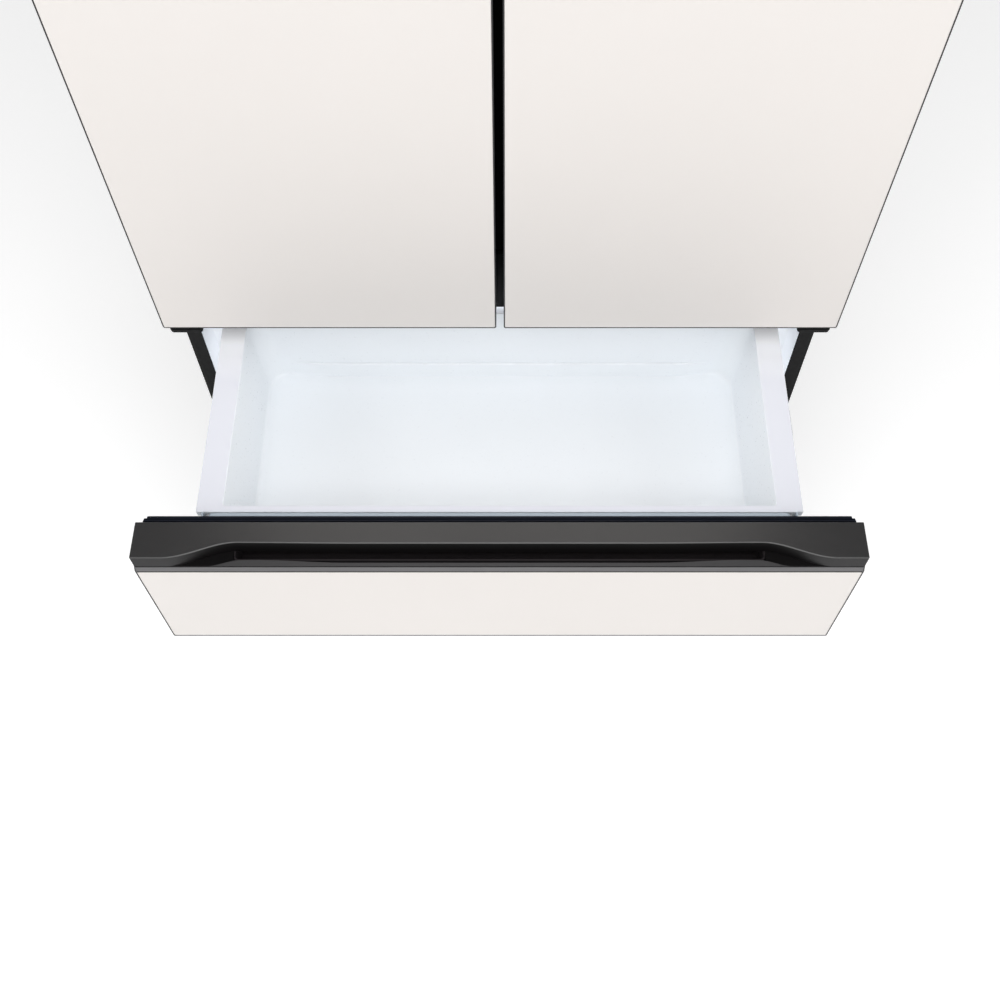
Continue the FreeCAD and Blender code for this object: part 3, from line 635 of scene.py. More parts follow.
def rubber(name, base):
    """Matt rubber with a fine grain."""
    made = Finish(name, base, roughness=0.55, specular=0.16)
    made.tint(made.noise(scale=30.0, detail=3.0), shaded(base, 1.35))
    made.roughen(made.noise(scale=500.0), low=0.48, high=0.64)
    made.bump(made.noise(scale=900.0), height=0.02, strength=0.5)
    return made.material


def scoop_plastic_and_painted_shade():
    """The cap's plastic, which turns to black along the scoop: partly the pocket's black plastic, partly
    painted shade in the recess.
    """
    tone = finish_colours()
    made = Finish("handle_scoop_painted_shade", tone.cap, roughness=0.5, specular=0.16)
    side = made.computed("ABSOLUTE", made.coordinate("X"))
    made.tint(side, tone.pocket, start=398.0 * MM, stop=368.0 * MM)
    made.bump(made.noise(scale=1200.0), height=0.01)
    return made.material


def bin_rim_painted_shade_and_light():
    """The satin rim of a bin: a darker white than the bin as painted shade, paler and faintly glowing
    towards its rear as painted light under the door's shadow.
    """
    made = Finish("satin_bin_rim", finish_colours().rim, roughness=0.42, specular=0.35)
    along = made.coordinate("Y")
    # Painted light: paler and glowing towards the rear, where the door's shadow falls on the rim.
    made.tint(along, (0.93, 0.94, 0.965), start=-250.0 * MM, stop=-170.0 * MM)
    glow = made.ranged(along, low=0.0, high=0.10, start=-208.0 * MM, stop=-182.0 * MM)
    made.glow((0.94, 0.96, 1.0), glow)
    made.roughen(made.noise(scale=360.0, detail=3.0), low=0.38, high=0.47)
    made.bump(made.noise(scale=900.0), height=0.02)
    return made.material


def liner_painted_glow():
    """The white of the convertible drawer's space, with a painted glow: its walls give light of their own,
    though they are no lamp.
    """
    base = finish_colours().liner
    made = Finish("liner_painted_glow", base, roughness=0.34, specular=0.4)
    made.glow((0.92, 0.95, 1.0), bpy.context.scene.refrigerator_view.painted_liner_glow)
    made.tint(made.noise(scale=6.0, detail=3.0), shaded(base, 0.97))
    made.bump(made.noise(scale=600.0), height=0.015)
    return made.material


def studio_floor(view):
    """The pale floor, with a glow that fades to nothing under the cabinet: the fade is a painted shadow
    beneath it.
    """
    base = finish_colours().floor
    made = Finish("studio_floor", base, roughness=0.7, specular=0.1)
    made.tint(made.noise(scale=1.2), shaded(base, 0.985))
    fade_inside = 80.0 * MM
    fade_outside = 10.0 * MM
    low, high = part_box("cabinet_shell")
    centre = (low + high) / 2
    reach = (high - low) / 2
    outside = []
    for axis, name in ((X, "X"), (Y, "Y")):
        offset = made.computed("SUBTRACT", made.coordinate(name), centre[axis])
        outside.append(made.ranged(made.computed("ABSOLUTE", offset), low=0.0, high=view.glow,
                                   start=reach[axis] - fade_inside, stop=reach[axis] + fade_outside))
    made.glow((1.0, 1.0, 1.0), made.computed("MAXIMUM", *outside))
    return made.material


def make_finishes():
    """Every finish of the object by its name."""
    tone = finish_colours()
    # The lip's finish is the cap's colour drawn lighter: a lit copy, painted light.
    cap_front = shaded(tone.cap, 1.9)
    # The cup's black is the pocket's drawn seven times lighter: painted light on the shaded inside of the
    # cup.
    cup = shaded(tone.pocket, 7.0)
    # The post's paint is the front frame's drawn darker: painted shade in the gap between the doors.
    post = shaded(tone.flange, 0.3)
    enamel = (0.012, 0.012, 0.013)
    black = (0.016, 0.016, 0.017)
    grey = (0.20, 0.205, 0.215)
    drawn_steel = (0.50, 0.52, 0.54)
    aluminium = (0.72, 0.73, 0.75)
    foam = (0.78, 0.66, 0.36)
    glass = (0.90, 0.97, 0.96)
    clear_plastic = (0.93, 0.96, 0.98)
    return {
        "panel": panel_glass(),
        "trim": brushed("dark_edge_frame", tone.trim, roughness=0.38, along=Z, metallic=0.2),
        "strip": brushed("satin_trim_strip", tone.strip, roughness=0.34, along=X, metallic=0.6),
        "cap": moulded("charcoal_handle_cap", tone.cap, roughness=0.34, grain=1500.0, relief=0.006,
                       specular=1.0),
        "cap_front": moulded("charcoal_handle_front", cap_front, roughness=0.47, grain=1500.0,
                             relief=0.006, specular=0.27),
        "scoop": scoop_plastic_and_painted_shade(),
        "pocket": moulded("black_finger_pocket", tone.pocket, roughness=0.65, grain=900.0, relief=0.03,
                          specular=0.1),
        "cup": moulded("finger_cup", cup, roughness=0.8, grain=900.0, relief=0.03, specular=0.08),
        "plate": moulded("inner_plate_painted_shade", tone.plate, roughness=0.4, grain=700.0, relief=0.015,
                         specular=0.35, variation=0.97),
        "bin": moulded("cool_white_bin", tone.bin, roughness=0.30, grain=700.0, relief=0.012,
                       specular=0.4, variation=0.975),
        "rim": bin_rim_painted_shade_and_light(),
        "liner": moulded("white_liner", tone.liner, roughness=0.32, grain=600.0, relief=0.015,
                         specular=0.4, variation=0.97),
        "liner_painted_glow": liner_painted_glow(),
        "cabinet": moulded("cabinet_paint", tone.cabinet, roughness=0.42, grain=380.0, relief=0.03,
                           variation=0.9),
        "flange": moulded("cabinet_front_paint", tone.flange, roughness=0.55, grain=420.0, specular=0.09,
                          variation=0.9),
        "post": moulded("black_post_painted_shade", post, roughness=0.6, grain=420.0, specular=0.05, variation=0.9),
        "seal": rubber("seal_rubber", tone.seal),
        "zinc": zinc(),
        "rail": brushed("drawn_rail_steel", drawn_steel, roughness=0.34, along=Y),
        "shelf_glass": clear("shelf_glass", glass, roughness=0.02),
        "clear_bin": clear("clear_bin_plastic", clear_plastic, roughness=0.05, frosting=0.02),
        "lens": lamp_lens(),
        "foam": moulded("insulation_foam", foam, roughness=0.9, grain=160.0, relief=0.6),
        "fins": brushed("aluminium_fins", aluminium, roughness=0.34, along=Z),
        "enamel": moulded("black_compressor_enamel", enamel, roughness=0.30, grain=240.0, relief=0.03),
        "black": moulded("black_grained_plastic", black, roughness=0.5, grain=800.0, relief=0.04),
        "grey": moulded("grey_grained_plastic", grey, roughness=0.5, grain=800.0, relief=0.04),
    }


SLOT_FINISH = {
    "cream_panel": "panel", "dark_trim": "trim", "dark_steel": "flange", "cabinet_paint": "cabinet",
    "zinc_steel": "zinc", "white_liner": "liner", "white_bin": "bin", "clear_bin": "clear_bin",
    "shelf_glass": "shelf_glass", "lamp_lens": "lens", "seal_rubber": "seal", "foam": "foam",
    "foamed_liner": "liner", "fin_aluminium": "fins", "compressor_paint": "enamel",
    "black_plastic": "black", "grey_plastic": "grey",
}


# Panels and edge frames

FRAME_EDGE = 0.35 * MM      # rounding of an edge frame, and how far the trim strip stands out


def front_panel(node, head=0.0, foot=0.0):
    """A glass panel with rounded corners and a ground front edge, shortened where its frame covers it."""
    low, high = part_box(node)
    low.z += foot
    high.z -= head
    piece = formed(node.replace("panel", "glass"), "panel", low, high,
                   (runs_along(Y), sizes().panel_round, 4), (ends_at(Y, low.y), sizes().panel_bevel, 3))
    stand_for(piece, node)


def door_edge_frame(side):
    """The thin frame round a door's panel."""
    node = side + "_door_frame"
    low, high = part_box(node)
    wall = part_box(side + "_door_panel")[0].z - low.z
    piece = block(side + "_door_edge_frame", low, high)
    round_edges(runs_along(Y), sizes().frame_round, steps=4)
    tunnel(Y, wall)
    round_edges(either(ends_at(Y, low.y), ends_at(Y, high.y)), FRAME_EDGE, steps=2)
    dress(piece, "trim")
    stand_for(piece, node)


def end_taper(name):
    """A rule that draws a drawer front's ends in above its panel, to meet the handle cap."""
    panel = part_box(name + "_front_panel")[1]
    slope = sizes().cap_inset / (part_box(name + "_front_frame")[1].z - panel.z)
    end_zone = 2.0 * MM
    def taper(place):
        if abs(place.x) > panel.x - end_zone and place.z > panel.z:
            place.x -= math.copysign(slope * (place.z - panel.z), place.x)
        return place
    return taper


def drawer_edge_frame(name):
    """The thin frame round a drawer's panel and the broader strip along its top, on a dark carrier."""
    size = sizes()
    strip_sheet = 1.5 * MM
    node = name + "_front_frame"
    low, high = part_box(node)
    panel_low, panel_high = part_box(name + "_front_panel")
    foot = panel_low.z + size.panel_foot
    top = panel_high.z - size.strip_drop
    rim = block(name + "_edge_frame", low, (high.x, high.y, foot))
    slice_at(X, (panel_low.x, panel_high.x))
    pick("FACE", lambda face: faces_to(Z, 1)(face) and abs(middle(face).x) > panel_high.x)
    extrude((0.0, 0.0, high.z - foot))
    slice_at(Z, (panel_high.z,))
    sides = either(ends_at(X, low.x), ends_at(X, high.x))
    round_edges(both(runs_along(Y), ends_at(Z, low.z), sides), size.panel_round, steps=4)
    round_edges(either(ends_at(Y, low.y), ends_at(Y, high.y)), FRAME_EDGE, steps=2)
    dress(rim, "trim")
    carrier = block(name + "_strip_carrier", (panel_low.x, low.y + FRAME_EDGE, top),
                    (panel_high.x, panel_high.y, high.z))
    slice_at(Z, (panel_high.z,))
    pick("FACE", lambda face: faces_to(Y, 1)(face) and middle(face).z > panel_high.z)
    extrude((0.0, low.y + POCKET_FRONT - panel_high.y, 0.0))
    dress(carrier, "pocket")
    strip = formed(name + "_strip", "strip", (panel_low.x, low.y, top + size.strip_groove),
                   (panel_high.x, low.y + strip_sheet, high.z - size.strip_groove),
                   (ends_at(Y, low.y), FRAME_EDGE, 3))
    piece = joined([rim, carrier, strip])
    edit(piece)
    shape(end_taper(name))
    start_clean()
    stand_for(piece, node)


# Handles

POCKET_FRONT = 8.0 * MM     # from the front to the finger pocket
POCKET_WALL = 2.0 * MM
POCKET_REACH = 34.0 * MM    # from the front to the pocket's rear wall
POCKET_HALF = 328.0 * MM    # half the pocket's width


def ease(value):
    """A smooth step from 0 to 1."""
    value = max(0.0, min(1.0, value))
    return value * value * (3.0 - 2.0 * value)


def scoop(x):
    """How far the cap's front edge lies behind the front, at a distance from the middle."""
    size = sizes()
    bow_start = 180.0 * MM
    share = ease((size.scoop_start - abs(x)) / (size.scoop_start - size.scoop_end))
    bow = size.scoop_bow * ease((abs(x) - bow_start) / (size.scoop_end - bow_start))
    return share * (size.scoop_depth + bow)


def lip_crest(x):
    """Depth and height of the pocket's lip, which swells towards its ends."""
    size = sizes()
    swell_start = 195.0 * MM
    swell_length = 100.0 * MM
    swell_depth = 3.4 * MM
    swell_rise = 1.0 * MM
    share = ease((size.lip_start - abs(x)) / (size.lip_start - size.lip_full))
    swell = ease((abs(x) - swell_start) / swell_length)
    return share * (size.lip_depth + swell_depth * swell), share * (size.lip_rise + swell_rise * swell)


def pocket_stations():
    """Places along a handle where its curved pieces are cut: close in the bends, wide in the middle."""
    size = sizes()
    bends = 30
    straight = 14
    step = (size.scoop_start - size.scoop_end) / bends
    places = [size.scoop_end + step * index for index in range(bends + 1)]
    places += [size.scoop_end * index / straight for index in range(1, straight)]
    return [0.0] + places + [-place for place in places]


def cap_body(name, low, high):
    """The cap itself, its front edge curved back in a scoop."""
    front, top, side = low[Y], high[Z], high[X]
    piece = block(name, low, high)
    slice_at(X, pocket_stations())
    def scooped(place):
        if at(place.y, front):
            place.y += scoop(place.x)
        return place
    shape(scooped)
    def outline(edge):
        at_end = at(abs(middle(edge).x), side)
        if ends_at(Z, top)(edge):
            return at_end or not runs_along(Y)(edge)
        return at_end and runs_along(Z)(edge)
    round_edges(outline, sizes().cap_edge, steps=3)
    front_top = top - sizes().cap_edge
    # Front faces below the rounded edge take the scoop finish, which darkens to black along the scoop,
    # partly as painted shade.
    dress(piece, "cap", "scoop", where=lambda face: face.normal.y < -LEANING and face.center.z < front_top)
    return piece


def pocket_lip(name, front, base):
    """The bowed lip in front of the finger cup and the dark floor at the pocket's ends."""
    half = sizes().scoop_start
    near = 0.2 * MM
    far = POCKET_FRONT + POCKET_WALL
    crest = near + (far - near) / 3
    heel = near + (far - near) * 2 / 3
    thick = 0.5 * MM
    tip = 0.1 * MM
    slope = 1.6 * MM
    under_cap = 1.5 * MM
    sunk = 3.0 * MM
    turn = 2.0 * MM
    piece = block(name, (-half, front + near, base), (half, front + far, base + thick))
    slice_at(X, pocket_stations() + [POCKET_HALF, -POCKET_HALF, POCKET_HALF + turn, -POCKET_HALF - turn])
    slice_at(Y, (front + crest, front + heel))
    def section(place):
        depth, rise = lip_crest(place.x)
        depth = max(depth, 2 * near)
        over = place.z > base + thick / 2
        inside = abs(place.x) < POCKET_HALF + turn / 2
        if at(place.y, front + crest):
            place.y = front + depth
            place.z = base + max(rise, thick / 2) if over else base
        elif at(place.y, front + heel):
            place.y = front + min(depth + slope, far - near)
            place.z = base + thick / 2 if over else base
        elif at(place.y, front + far) and inside:
            place.z = base - sunk if over else base - sunk - thick
        elif at(place.y, front + far):
            place.y = front + max(scoop(place.x), depth + slope) + under_cap
            place.z = base + thick / 2 if over else base
        elif over:
            place.z = base + tip
        return place
    shape(section)
    def behind_crest(face):
        return (abs(face.center.x) > sizes().lip_start
                or face.center.y > front + lip_crest(face.center.x)[0])
    # The lip's front takes the cap's plastic drawn lighter, a painted light; behind the crest it is the
    # pocket's black.
    dress(piece, "cap_front", "pocket", where=behind_crest, degrees=40.0)
    return piece


def finger_cup(name, front, base, floor):
    """The dark cup behind the lip that the fingers reach into."""
    corner = 5.0 * MM
    piece = block(name, (-POCKET_HALF, front + POCKET_FRONT + POCKET_WALL, floor + POCKET_WALL),
                  (POCKET_HALF, front + POCKET_REACH, base))
    remove_faces(faces_to(Z, 1))
    round_edges(unless(ends_at(Z, base)), corner, steps=4)
    walled(piece, POCKET_WALL, side=1.0)
    # The cup finish is the pocket's black drawn lighter, a painted light.
    dress(piece, "cup")
    return piece


def handle(name):
    """A drawer's handle cap with its lip and finger cup."""
    node = name + "_handle_cap"
    low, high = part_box(node)
    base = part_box(name + "_front_frame")[1].z
    short = sizes().cap_inset
    cap = cap_body(name + "_handle", (low.x + short, low.y, base), (high.x - short, high.y, high.z))
    lip = pocket_lip(name + "_lip", low.y, base)
    cup = finger_cup(name + "_cup", low.y, base, low.z)
    stand_for(joined([cap, lip, cup]), node)


# Drawer bins, seals and the drawer fronts' insides

BIN_CORNER_STEPS = 6
BURIED = 1.0 * MM           # how deep a piece sits in the one that carries it


def bin_step(name, half, far, floor, top):
    """The ledge along a bin's rear wall, which leans with the wall and fades into it at both ends."""
    size = sizes()
    hidden = 0.3 * MM
    skin = 0.5 * MM
    edge_round = 2.0 * MM
    level = floor + size.bin_step_height
    lean = size.bin_draft * size.bin_step_height / (top - floor)
    full = half - size.bin_step_fade
    piece = block(name + "_step", (-half, far - size.bin_step_depth, floor - BURIED),
                  (half, far + (size.bin_wall - skin), level))
    slice_at(X, (-full, full))
    def fade(place):
        if abs(place.x) > full + SNAP and place.y < far:
            place.y = far + hidden
        if place.z > floor:
            place.y += lean
        return place
    shape(fade)
    def front_edge(edge):
        return (ends_at(Z, level)(edge) and not runs_along(Y)(edge)
                and middle(edge).y < far + lean + hidden)
    round_edges(front_edge, edge_round, steps=4)
    smooth(piece)
    return piece


def drawer_tub(name):
    """A moulded bin: wide side rims, drafted walls with round corners and a ledge along the rear."""
    node = name + "_bin"
    size = sizes()
    rim_corner = 2.5 * MM
    rim_edge = 1.4 * MM
    rim_zone = 1.0 * MM
    rim_level = 0.8
    low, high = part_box(node)
    top = high.z
    floor = low.z + size.bin_wall
    mouth = high.x - size.bin_side_rim
    near = low.y + size.bin_front_rim
    far = high.y - size.bin_back_rim
    skirt = block(name + "_tub", (low.x, low.y, top - size.bin_skirt), high)
    remove_faces(faces_to(Z, -1))
    round_edges(runs_along(Z), rim_corner, BIN_CORNER_STEPS)
    remove_faces(faces_to(Z, 1))
    well = block(name + "_well", (-mouth, near, floor), (mouth, far, top))
    def drafted(place):
        if not at(place.z, top):
            place.x -= math.copysign(size.bin_draft, place.x)
            place.y += size.bin_draft if at(place.y, near) else -size.bin_draft
        return place
    shape(drafted)
    remove_faces(faces_to(Z, 1))
    upright = unless(either(ends_at(Z, top), ends_at(Z, floor)))
    def at_rear(edge):
        return middle(edge).y > (near + far) / 2
    round_edges(both(upright, at_rear), size.bin_rear_corner, BIN_CORNER_STEPS)
    round_edges(both(upright, lambda edge: middle(edge).y < near + size.bin_draft), size.bin_front_corner,
                BIN_CORNER_STEPS)
    round_edges(ends_at(Z, floor), size.bin_floor, steps=5)
    bpy.ops.mesh.select_all(action="SELECT")
    bpy.ops.mesh.flip_normals()
    piece = joined([skirt, well])
    edit(piece)
    pick("EDGE", lambda edge: ends_at(Z, top)(edge) and edge.is_boundary)
    bpy.ops.mesh.bridge_edge_loops()
    def rim_fold(edge):
        if not ends_at(Z, top)(edge) or edge.is_boundary:
            return False
        one, two = edge.link_faces
        return abs(one.normal.z - two.normal.z) > LEANING
    round_edges(rim_fold, rim_edge, steps=3)
    walled(piece, size.bin_wall)
    smooth(piece)
    step_half = mouth - size.bin_draft - size.bin_rear_corner
    piece = joined([piece, bin_step(name, step_half, far - size.bin_draft, floor, top)])
    # The rim faces take the rim finish: painted shade, with painted light towards the rear.
    paint(piece, "bin", "rim",
          where=lambda face: face.normal.z > rim_level and face.center.z > top - rim_zone)
    stand_for(piece, node)


# Where a seal folds, in shares of its depth, and how far it swells outwards there, in millimetres
SEAL_FOLDS = ((0.22, 0.0), (0.30, 3.4), (0.42, 3.4), (0.52, 0.6), (0.62, 3.0), (0.72, 0.0))


def seal(node):
    """A bellows seal: a foot on the front, folds whose walls swell outwards and a magnet pad."""
    corner = 3.0 * MM
    width = 12.0 * MM
    side_zone = 1.6 * width
    low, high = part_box(node)
    centre = (low + high) / 2
    piece = block(node.replace("gasket", "seal"), low, high)
    round_edges(runs_along(Y), corner, steps=4)
    tunnel(Y, width)
    folds = [(low.y + (high.y - low.y) * share, swell * MM) for share, swell in SEAL_FOLDS]
    slice_at(Y, [station for station, swell in folds])
    def folded(place):
        for station, swell in folds:
            if at(place.y, station):
                for axis in (X, Z):
                    offset = place[axis] - centre[axis]
                    if abs(offset) > (high[axis] - low[axis]) / 2 - side_zone:
                        place[axis] += math.copysign(swell, offset)
        return place
    shape(folded)
    dress(piece, "seal", degrees=50.0)
    stand_for(piece, node)


def front_inside(name):
    """The foamed core of a drawer front, its inner plate in a cool grey of painted shade, and the two hooks
    that hold the bin.
    """
    size = sizes()
    core_round = 1.2 * MM
    plate_proud = 0.4 * MM
    plate_corner = 6.0 * MM
    plate_round = 2.0 * MM
    ledge_margin = 8.0 * MM
    ledge_root = 3.0 * MM
    ledge_drop = 22.0 * MM
    ledge_round = 0.6 * MM
    bin_gap = 0.3 * MM
    hook_sheet = 2.0 * MM
    hook_proud = 3.4 * MM
    hook_head = 3.0 * MM
    hook_foot = 44.0 * MM
    hook_round = 0.5 * MM
    node = name + "_front_core"
    core_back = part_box(node)[1].y
    seal_low, seal_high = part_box(name + "_gasket")
    root = seal_low.y - BURIED
    back = core_back + plate_proud
    top = seal_high.z - size.plate_drop
    bottom = seal_low.z + size.plate_foot
    half = size.plate_half
    core = softened(node, "liner", core_round)
    edit(core)
    slice_at(Z, (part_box(name + "_front_panel")[1].z,))
    shape(end_taper(name))
    smooth(core, degrees=38.0)
    plate = formed(name + "_plate", "plate", (-half, root, bottom), (half, back, top),
                   (runs_along(Y), plate_corner, 5), (ends_at(Y, back), plate_round, 4))
    ledge = formed(name + "_ledge", "plate", (ledge_margin - half, back - ledge_root, bottom + ledge_margin),
                   (half - ledge_margin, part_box(name + "_bin")[0].y - bin_gap, top - ledge_drop),
                   (every, ledge_round, 2))
    hook = formed(name + "_hook", "plate", (size.hook_start, root, top - hook_foot),
                  (size.hook_start + hook_sheet, core_back + hook_proud, top - hook_head),
                  (every, hook_round, 2))
    other = copied(hook, name + "_left_hook", (-2 * size.hook_start - hook_sheet, 0.0, 0.0))
    stand_for(joined([core, plate, ledge, hook, other]), node)


# Compartments and their fittings

SHELF_THICK = 5.0 * MM


def compartment(node, name, finish, step=None):
    """A moulded liner, open at the front: a lip, a slope inwards and straight walls with round corners.

    A step is the depth of the lower part and the height at which it ends.
    """
    size = sizes()
    low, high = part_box(node)
    wall = size.liner_wall
    near = low.y
    wide = high.x - wall
    narrow = wide - size.liner_step
    floor = low.z + wall
    depth, level = step or (0.0, floor)
    slope_start = near + size.liner_lip
    slope_end = slope_start + size.liner_slope
    piece = block(name, (-wide, near, level), (wide, high.y - wall, high.z - wall))
    slice_at(Y, (slope_start, slope_end))
    def narrowed(place):
        if place.y > slope_end - SNAP:
            place.x = math.copysign(narrow, place.x)
        return place
    shape(narrowed)
    if step:
        slice_at(Y, (near + depth,))
        pick("FACE", lambda face: faces_to(Z, -1)(face) and middle(face).y < near + depth)
        extrude((0.0, 0.0, floor - level))
    remove_faces(faces_to(Y, -1))
    round_edges(steep, size.liner_round, steps=4)
    walled(piece, wall, inside=True)
    dress(piece, finish)
    return piece


def shelf_rails(name, narrow):
    """Rounded ledges along the side walls that carry the two glass shelves."""
    reach = 10.0 * MM
    edge_round = 2.5 * MM
    low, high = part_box("glass_shelves")
    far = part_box("fresh_food_liner")[1].y - sizes().liner_wall
    def free(edge):
        return middle(edge).x < narrow - reach / 2 and not ends_at(Y, far)(edge)
    rails = []
    for level in (low.z, high.z - SHELF_THICK):
        rail = formed(name, "liner", (narrow - reach, low.y, level - reach), (narrow, far, level),
                      (free, edge_round, 3))
        rails += [rail, copied(rail, name + "_left", (reach - 2 * narrow, 0.0, 0.0))]
    return rails


def fresh_food_compartment():
    """The upper space with its shelf rails."""
    node = "fresh_food_liner"
    shell = compartment(node, "fresh_food_compartment", "liner")
    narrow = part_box(node)[1].x - sizes().liner_wall - sizes().liner_step
    stand_for(joined([shell] + shelf_rails("shelf_rail", narrow)), node)


def drawer_compartments():
    """The convertible drawer's space, whose walls glow with painted light, and the freezer's space with a
    step over the machine space.
    """
    step = (sizes().freezer_step_depth, sizes().freezer_step_level)
    stand_for(compartment("drawer_liner", "drawer_compartment", "liner_painted_glow"), "drawer_liner")
    stand_for(compartment("freezer_liner", "freezer_compartment", "liner", step), "freezer_liner")


def glass_shelf_set():
    """Two glass shelves with a moulded trim along the front and the rear."""
    node = "glass_shelves"
    trim = 13.0 * MM
    trim_round = 2.0 * MM
    trim_edge = 0.8 * MM
    front_rise = 4.0 * MM
    rear_rise = 7.0 * MM
    side_gap = 2.0 * MM
    pane_gap = 0.4 * MM
    pane_edge = 0.6 * MM
    low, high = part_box(node)
    top = low.z + SHELF_THICK
    pane = formed("shelf_pane", "shelf_glass", (low.x + side_gap, low.y + trim / 2, low.z + pane_gap),
                  (high.x - side_gap, high.y - trim / 2, top - pane_gap), (every, pane_edge, 2))
    sides = either(ends_at(X, low.x), ends_at(X, high.x))
    bars = [formed(name, "strip", (low.x, start, low.z), (high.x, start + trim, top + rise),
                   (runs_along(X), trim_round, 4), (sides, trim_edge, 2))
            for name, start, rise in (("shelf_front_trim", low.y, front_rise),
                                      ("shelf_rear_trim", high.y - trim, rear_rise))]
    lower = joined([pane] + bars)
    lower.name = "glass_shelf_pair"
    upper = copied(lower, "upper_shelf", (0.0, 0.0, high.z - top))
    stand_for(joined([lower, upper]), node)


def air_duct():
    """The rounded cover of the cold-air channel with pairs of outlet slots."""
    node = "air_duct_cover"
    side_round = 12.0 * MM
    slot_in = 24.0 * MM
    slot_out = 104.0 * MM
    slot_height = 16.0 * MM
    slot_border = 2.0 * MM
    slot_depth = 9.0 * MM
    row_shares = (0.14, 0.40, 0.66, 0.90)
    low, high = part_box(node)
    rows = [low.z + (high.z - low.z) * share for share in row_shares]
    piece = block("cold_air_duct", low, high)
    round_edges(both(runs_along(Z), ends_at(Y, low.y)), side_round, steps=5)
    slice_at(X, (-slot_out, -slot_in, slot_in, slot_out))
    slice_at(Z, [row + rise for row in rows for rise in (0.0, slot_height)])
    def outlet(face):
        spot = middle(face)
        return (faces_to(Y, -1)(face) and slot_in < abs(spot.x) < slot_out
                and any(row < spot.z < row + slot_height for row in rows))
    pick("FACE", outlet)
    inset(slot_border, one_by_one=True)
    extrude((0.0, slot_depth, 0.0))
    dress(piece, "liner", "grey",
          where=lambda face: at(face.center.y, low.y + slot_depth) and abs(face.center.x) < slot_out)
    stand_for(piece, node)


def ceiling_lamp():
    """The lamp under the ceiling: a white frame round an opal lens."""
    node = "ceiling_light"
    corner = 8.0 * MM
    edge_round = 2.0 * MM
    border = 6.0 * MM
    recess = 2.0 * MM
    lens_gap = 1.5 * MM
    lens_depth = 1.6 * MM
    low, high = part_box(node)
    piece = block("ceiling_lamp", low, high)
    round_edges(runs_along(Z), corner, steps=4)
    round_edges(ends_at(Z, low.z), edge_round, steps=3)
    pick("FACE", faces_to(Z, -1))
    inset(border)
    extrude((0.0, 0.0, recess))
    inset(lens_gap)
    extrude((0.0, 0.0, -lens_depth))
    inner = border + lens_gap / 2
    def lens(face):
        return (face.center.z < low.z + recess - SNAP and abs(face.center.x) < high.x - inner
                and low.y + inner < face.center.y < high.y - inner)
    dress(piece, "liner", "lens", where=lens)
    stand_for(piece, node)


# Door insides

DOOR_BIN_LEVELS = (320.0 * MM, 610.0 * MM)      # of the upper bins, from the lowest one


def door_inner(side):
    """A door's moulded inner side: a flat back and a raised face with a rim that carries the bins."""
    size = sizes()
    back_round = 1.2 * MM
    field_depth = 14.0 * MM
    field_border = 6.0 * MM
    rim_round = 7.0 * MM
    field_round = 4.0 * MM
    node = side + "_door_liner"
    low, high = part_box(node)
    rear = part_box(side + "_door_gasket")[0].y
    bins_low, bins_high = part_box(side + "_door_bins")
    core = formed(side + "_door_inner", "liner", low, (high.x, rear, high.z),
                  (ends_at(Y, rear), back_round, 3))
    dyke = block(side + "_door_dyke",
                 (bins_low.x - size.dyke_margin, rear - BURIED, low.z + size.dyke_bottom),
                 (bins_high.x + size.dyke_margin, high.y, high.z - size.dyke_top))
    round_edges(runs_along(Y), size.dyke_round, steps=8)
    pick("FACE", faces_to(Y, 1))
    inset(size.dyke_rim)
    extrude((0.0, -field_depth, 0.0))
    inset(field_border)
    round_edges(both(ends_at(Y, high.y), steep), rim_round, steps=4)
    round_edges(both(ends_at(Y, high.y - field_depth), steep), field_round, steps=3)
    dress(dyke, "liner")
    stand_for(joined([core, dyke]), node)


def door_bin_set(side):
    """Three clear door bins with rounded corners and a broad band round the mouth."""
    size = sizes()
    front_corner = 18.0 * MM
    rear_corner = 5.0 * MM
    floor_round = 7.0 * MM
    band_slope = 0.8 * MM
    band_proud = 1.4 * MM
    wall = 2.6 * MM
    edge_round = 0.5 * MM
    sharp = math.radians(50.0)
    node = side + "_door_bins"
    low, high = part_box(node)
    top = low.z + size.door_bin_height
    band = top - size.door_bin_band
    piece = block(side + "_door_bin_set", low, (high.x, high.y, top))
    remove_faces(faces_to(Z, 1))
    round_edges(both(runs_along(Z), ends_at(Y, high.y)), front_corner, steps=6)
    round_edges(both(runs_along(Z), ends_at(Y, low.y)), rear_corner, steps=4)
    round_edges(ends_at(Z, low.z), floor_round, steps=4)
    slice_at(Z, (band, band + band_slope))
    centre = (low.x + high.x) / 2
    reach = (high.x - low.x) / 2
    depth = high.y - low.y
    def flared(place):
        if place.z > band + band_slope / 2:
            place.x = centre + (place.x - centre) * (reach + band_proud) / reach
            place.y = low.y + (place.y - low.y) * (depth + band_proud) / depth
        return place
    shape(flared)
    walled(piece, wall)
    modified(piece, "BEVEL", width=edge_round, segments=2, limit_method="ANGLE", angle_limit=sharp)
    dress(piece, "clear_bin", "strip", where=lambda face: face.center.z > band + band_slope / 4)
    copies = [copied(piece, side + "_door_bin", (0.0, 0.0, level)) for level in DOOR_BIN_LEVELS]
    stand_for(joined([piece] + copies), node)


# Cabinet

def mullion():
    """The post between the doors, with a shallow channel along its front."""
    node = "centre_mullion"
    side_round = 6.0 * MM
    border = 6.0 * MM
    channel = 1.2 * MM
    low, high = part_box(node)
    piece = block("mullion_post", low, high)
    round_edges(runs_along(Z), side_round, steps=4)
    pick("FACE", faces_to(Y, -1))
    inset(border)
    extrude((0.0, channel, 0.0))
    # The post takes the front frame's paint drawn darker, a painted shade in the door gap.
    dress(piece, "post")
    stand_for(piece, node)


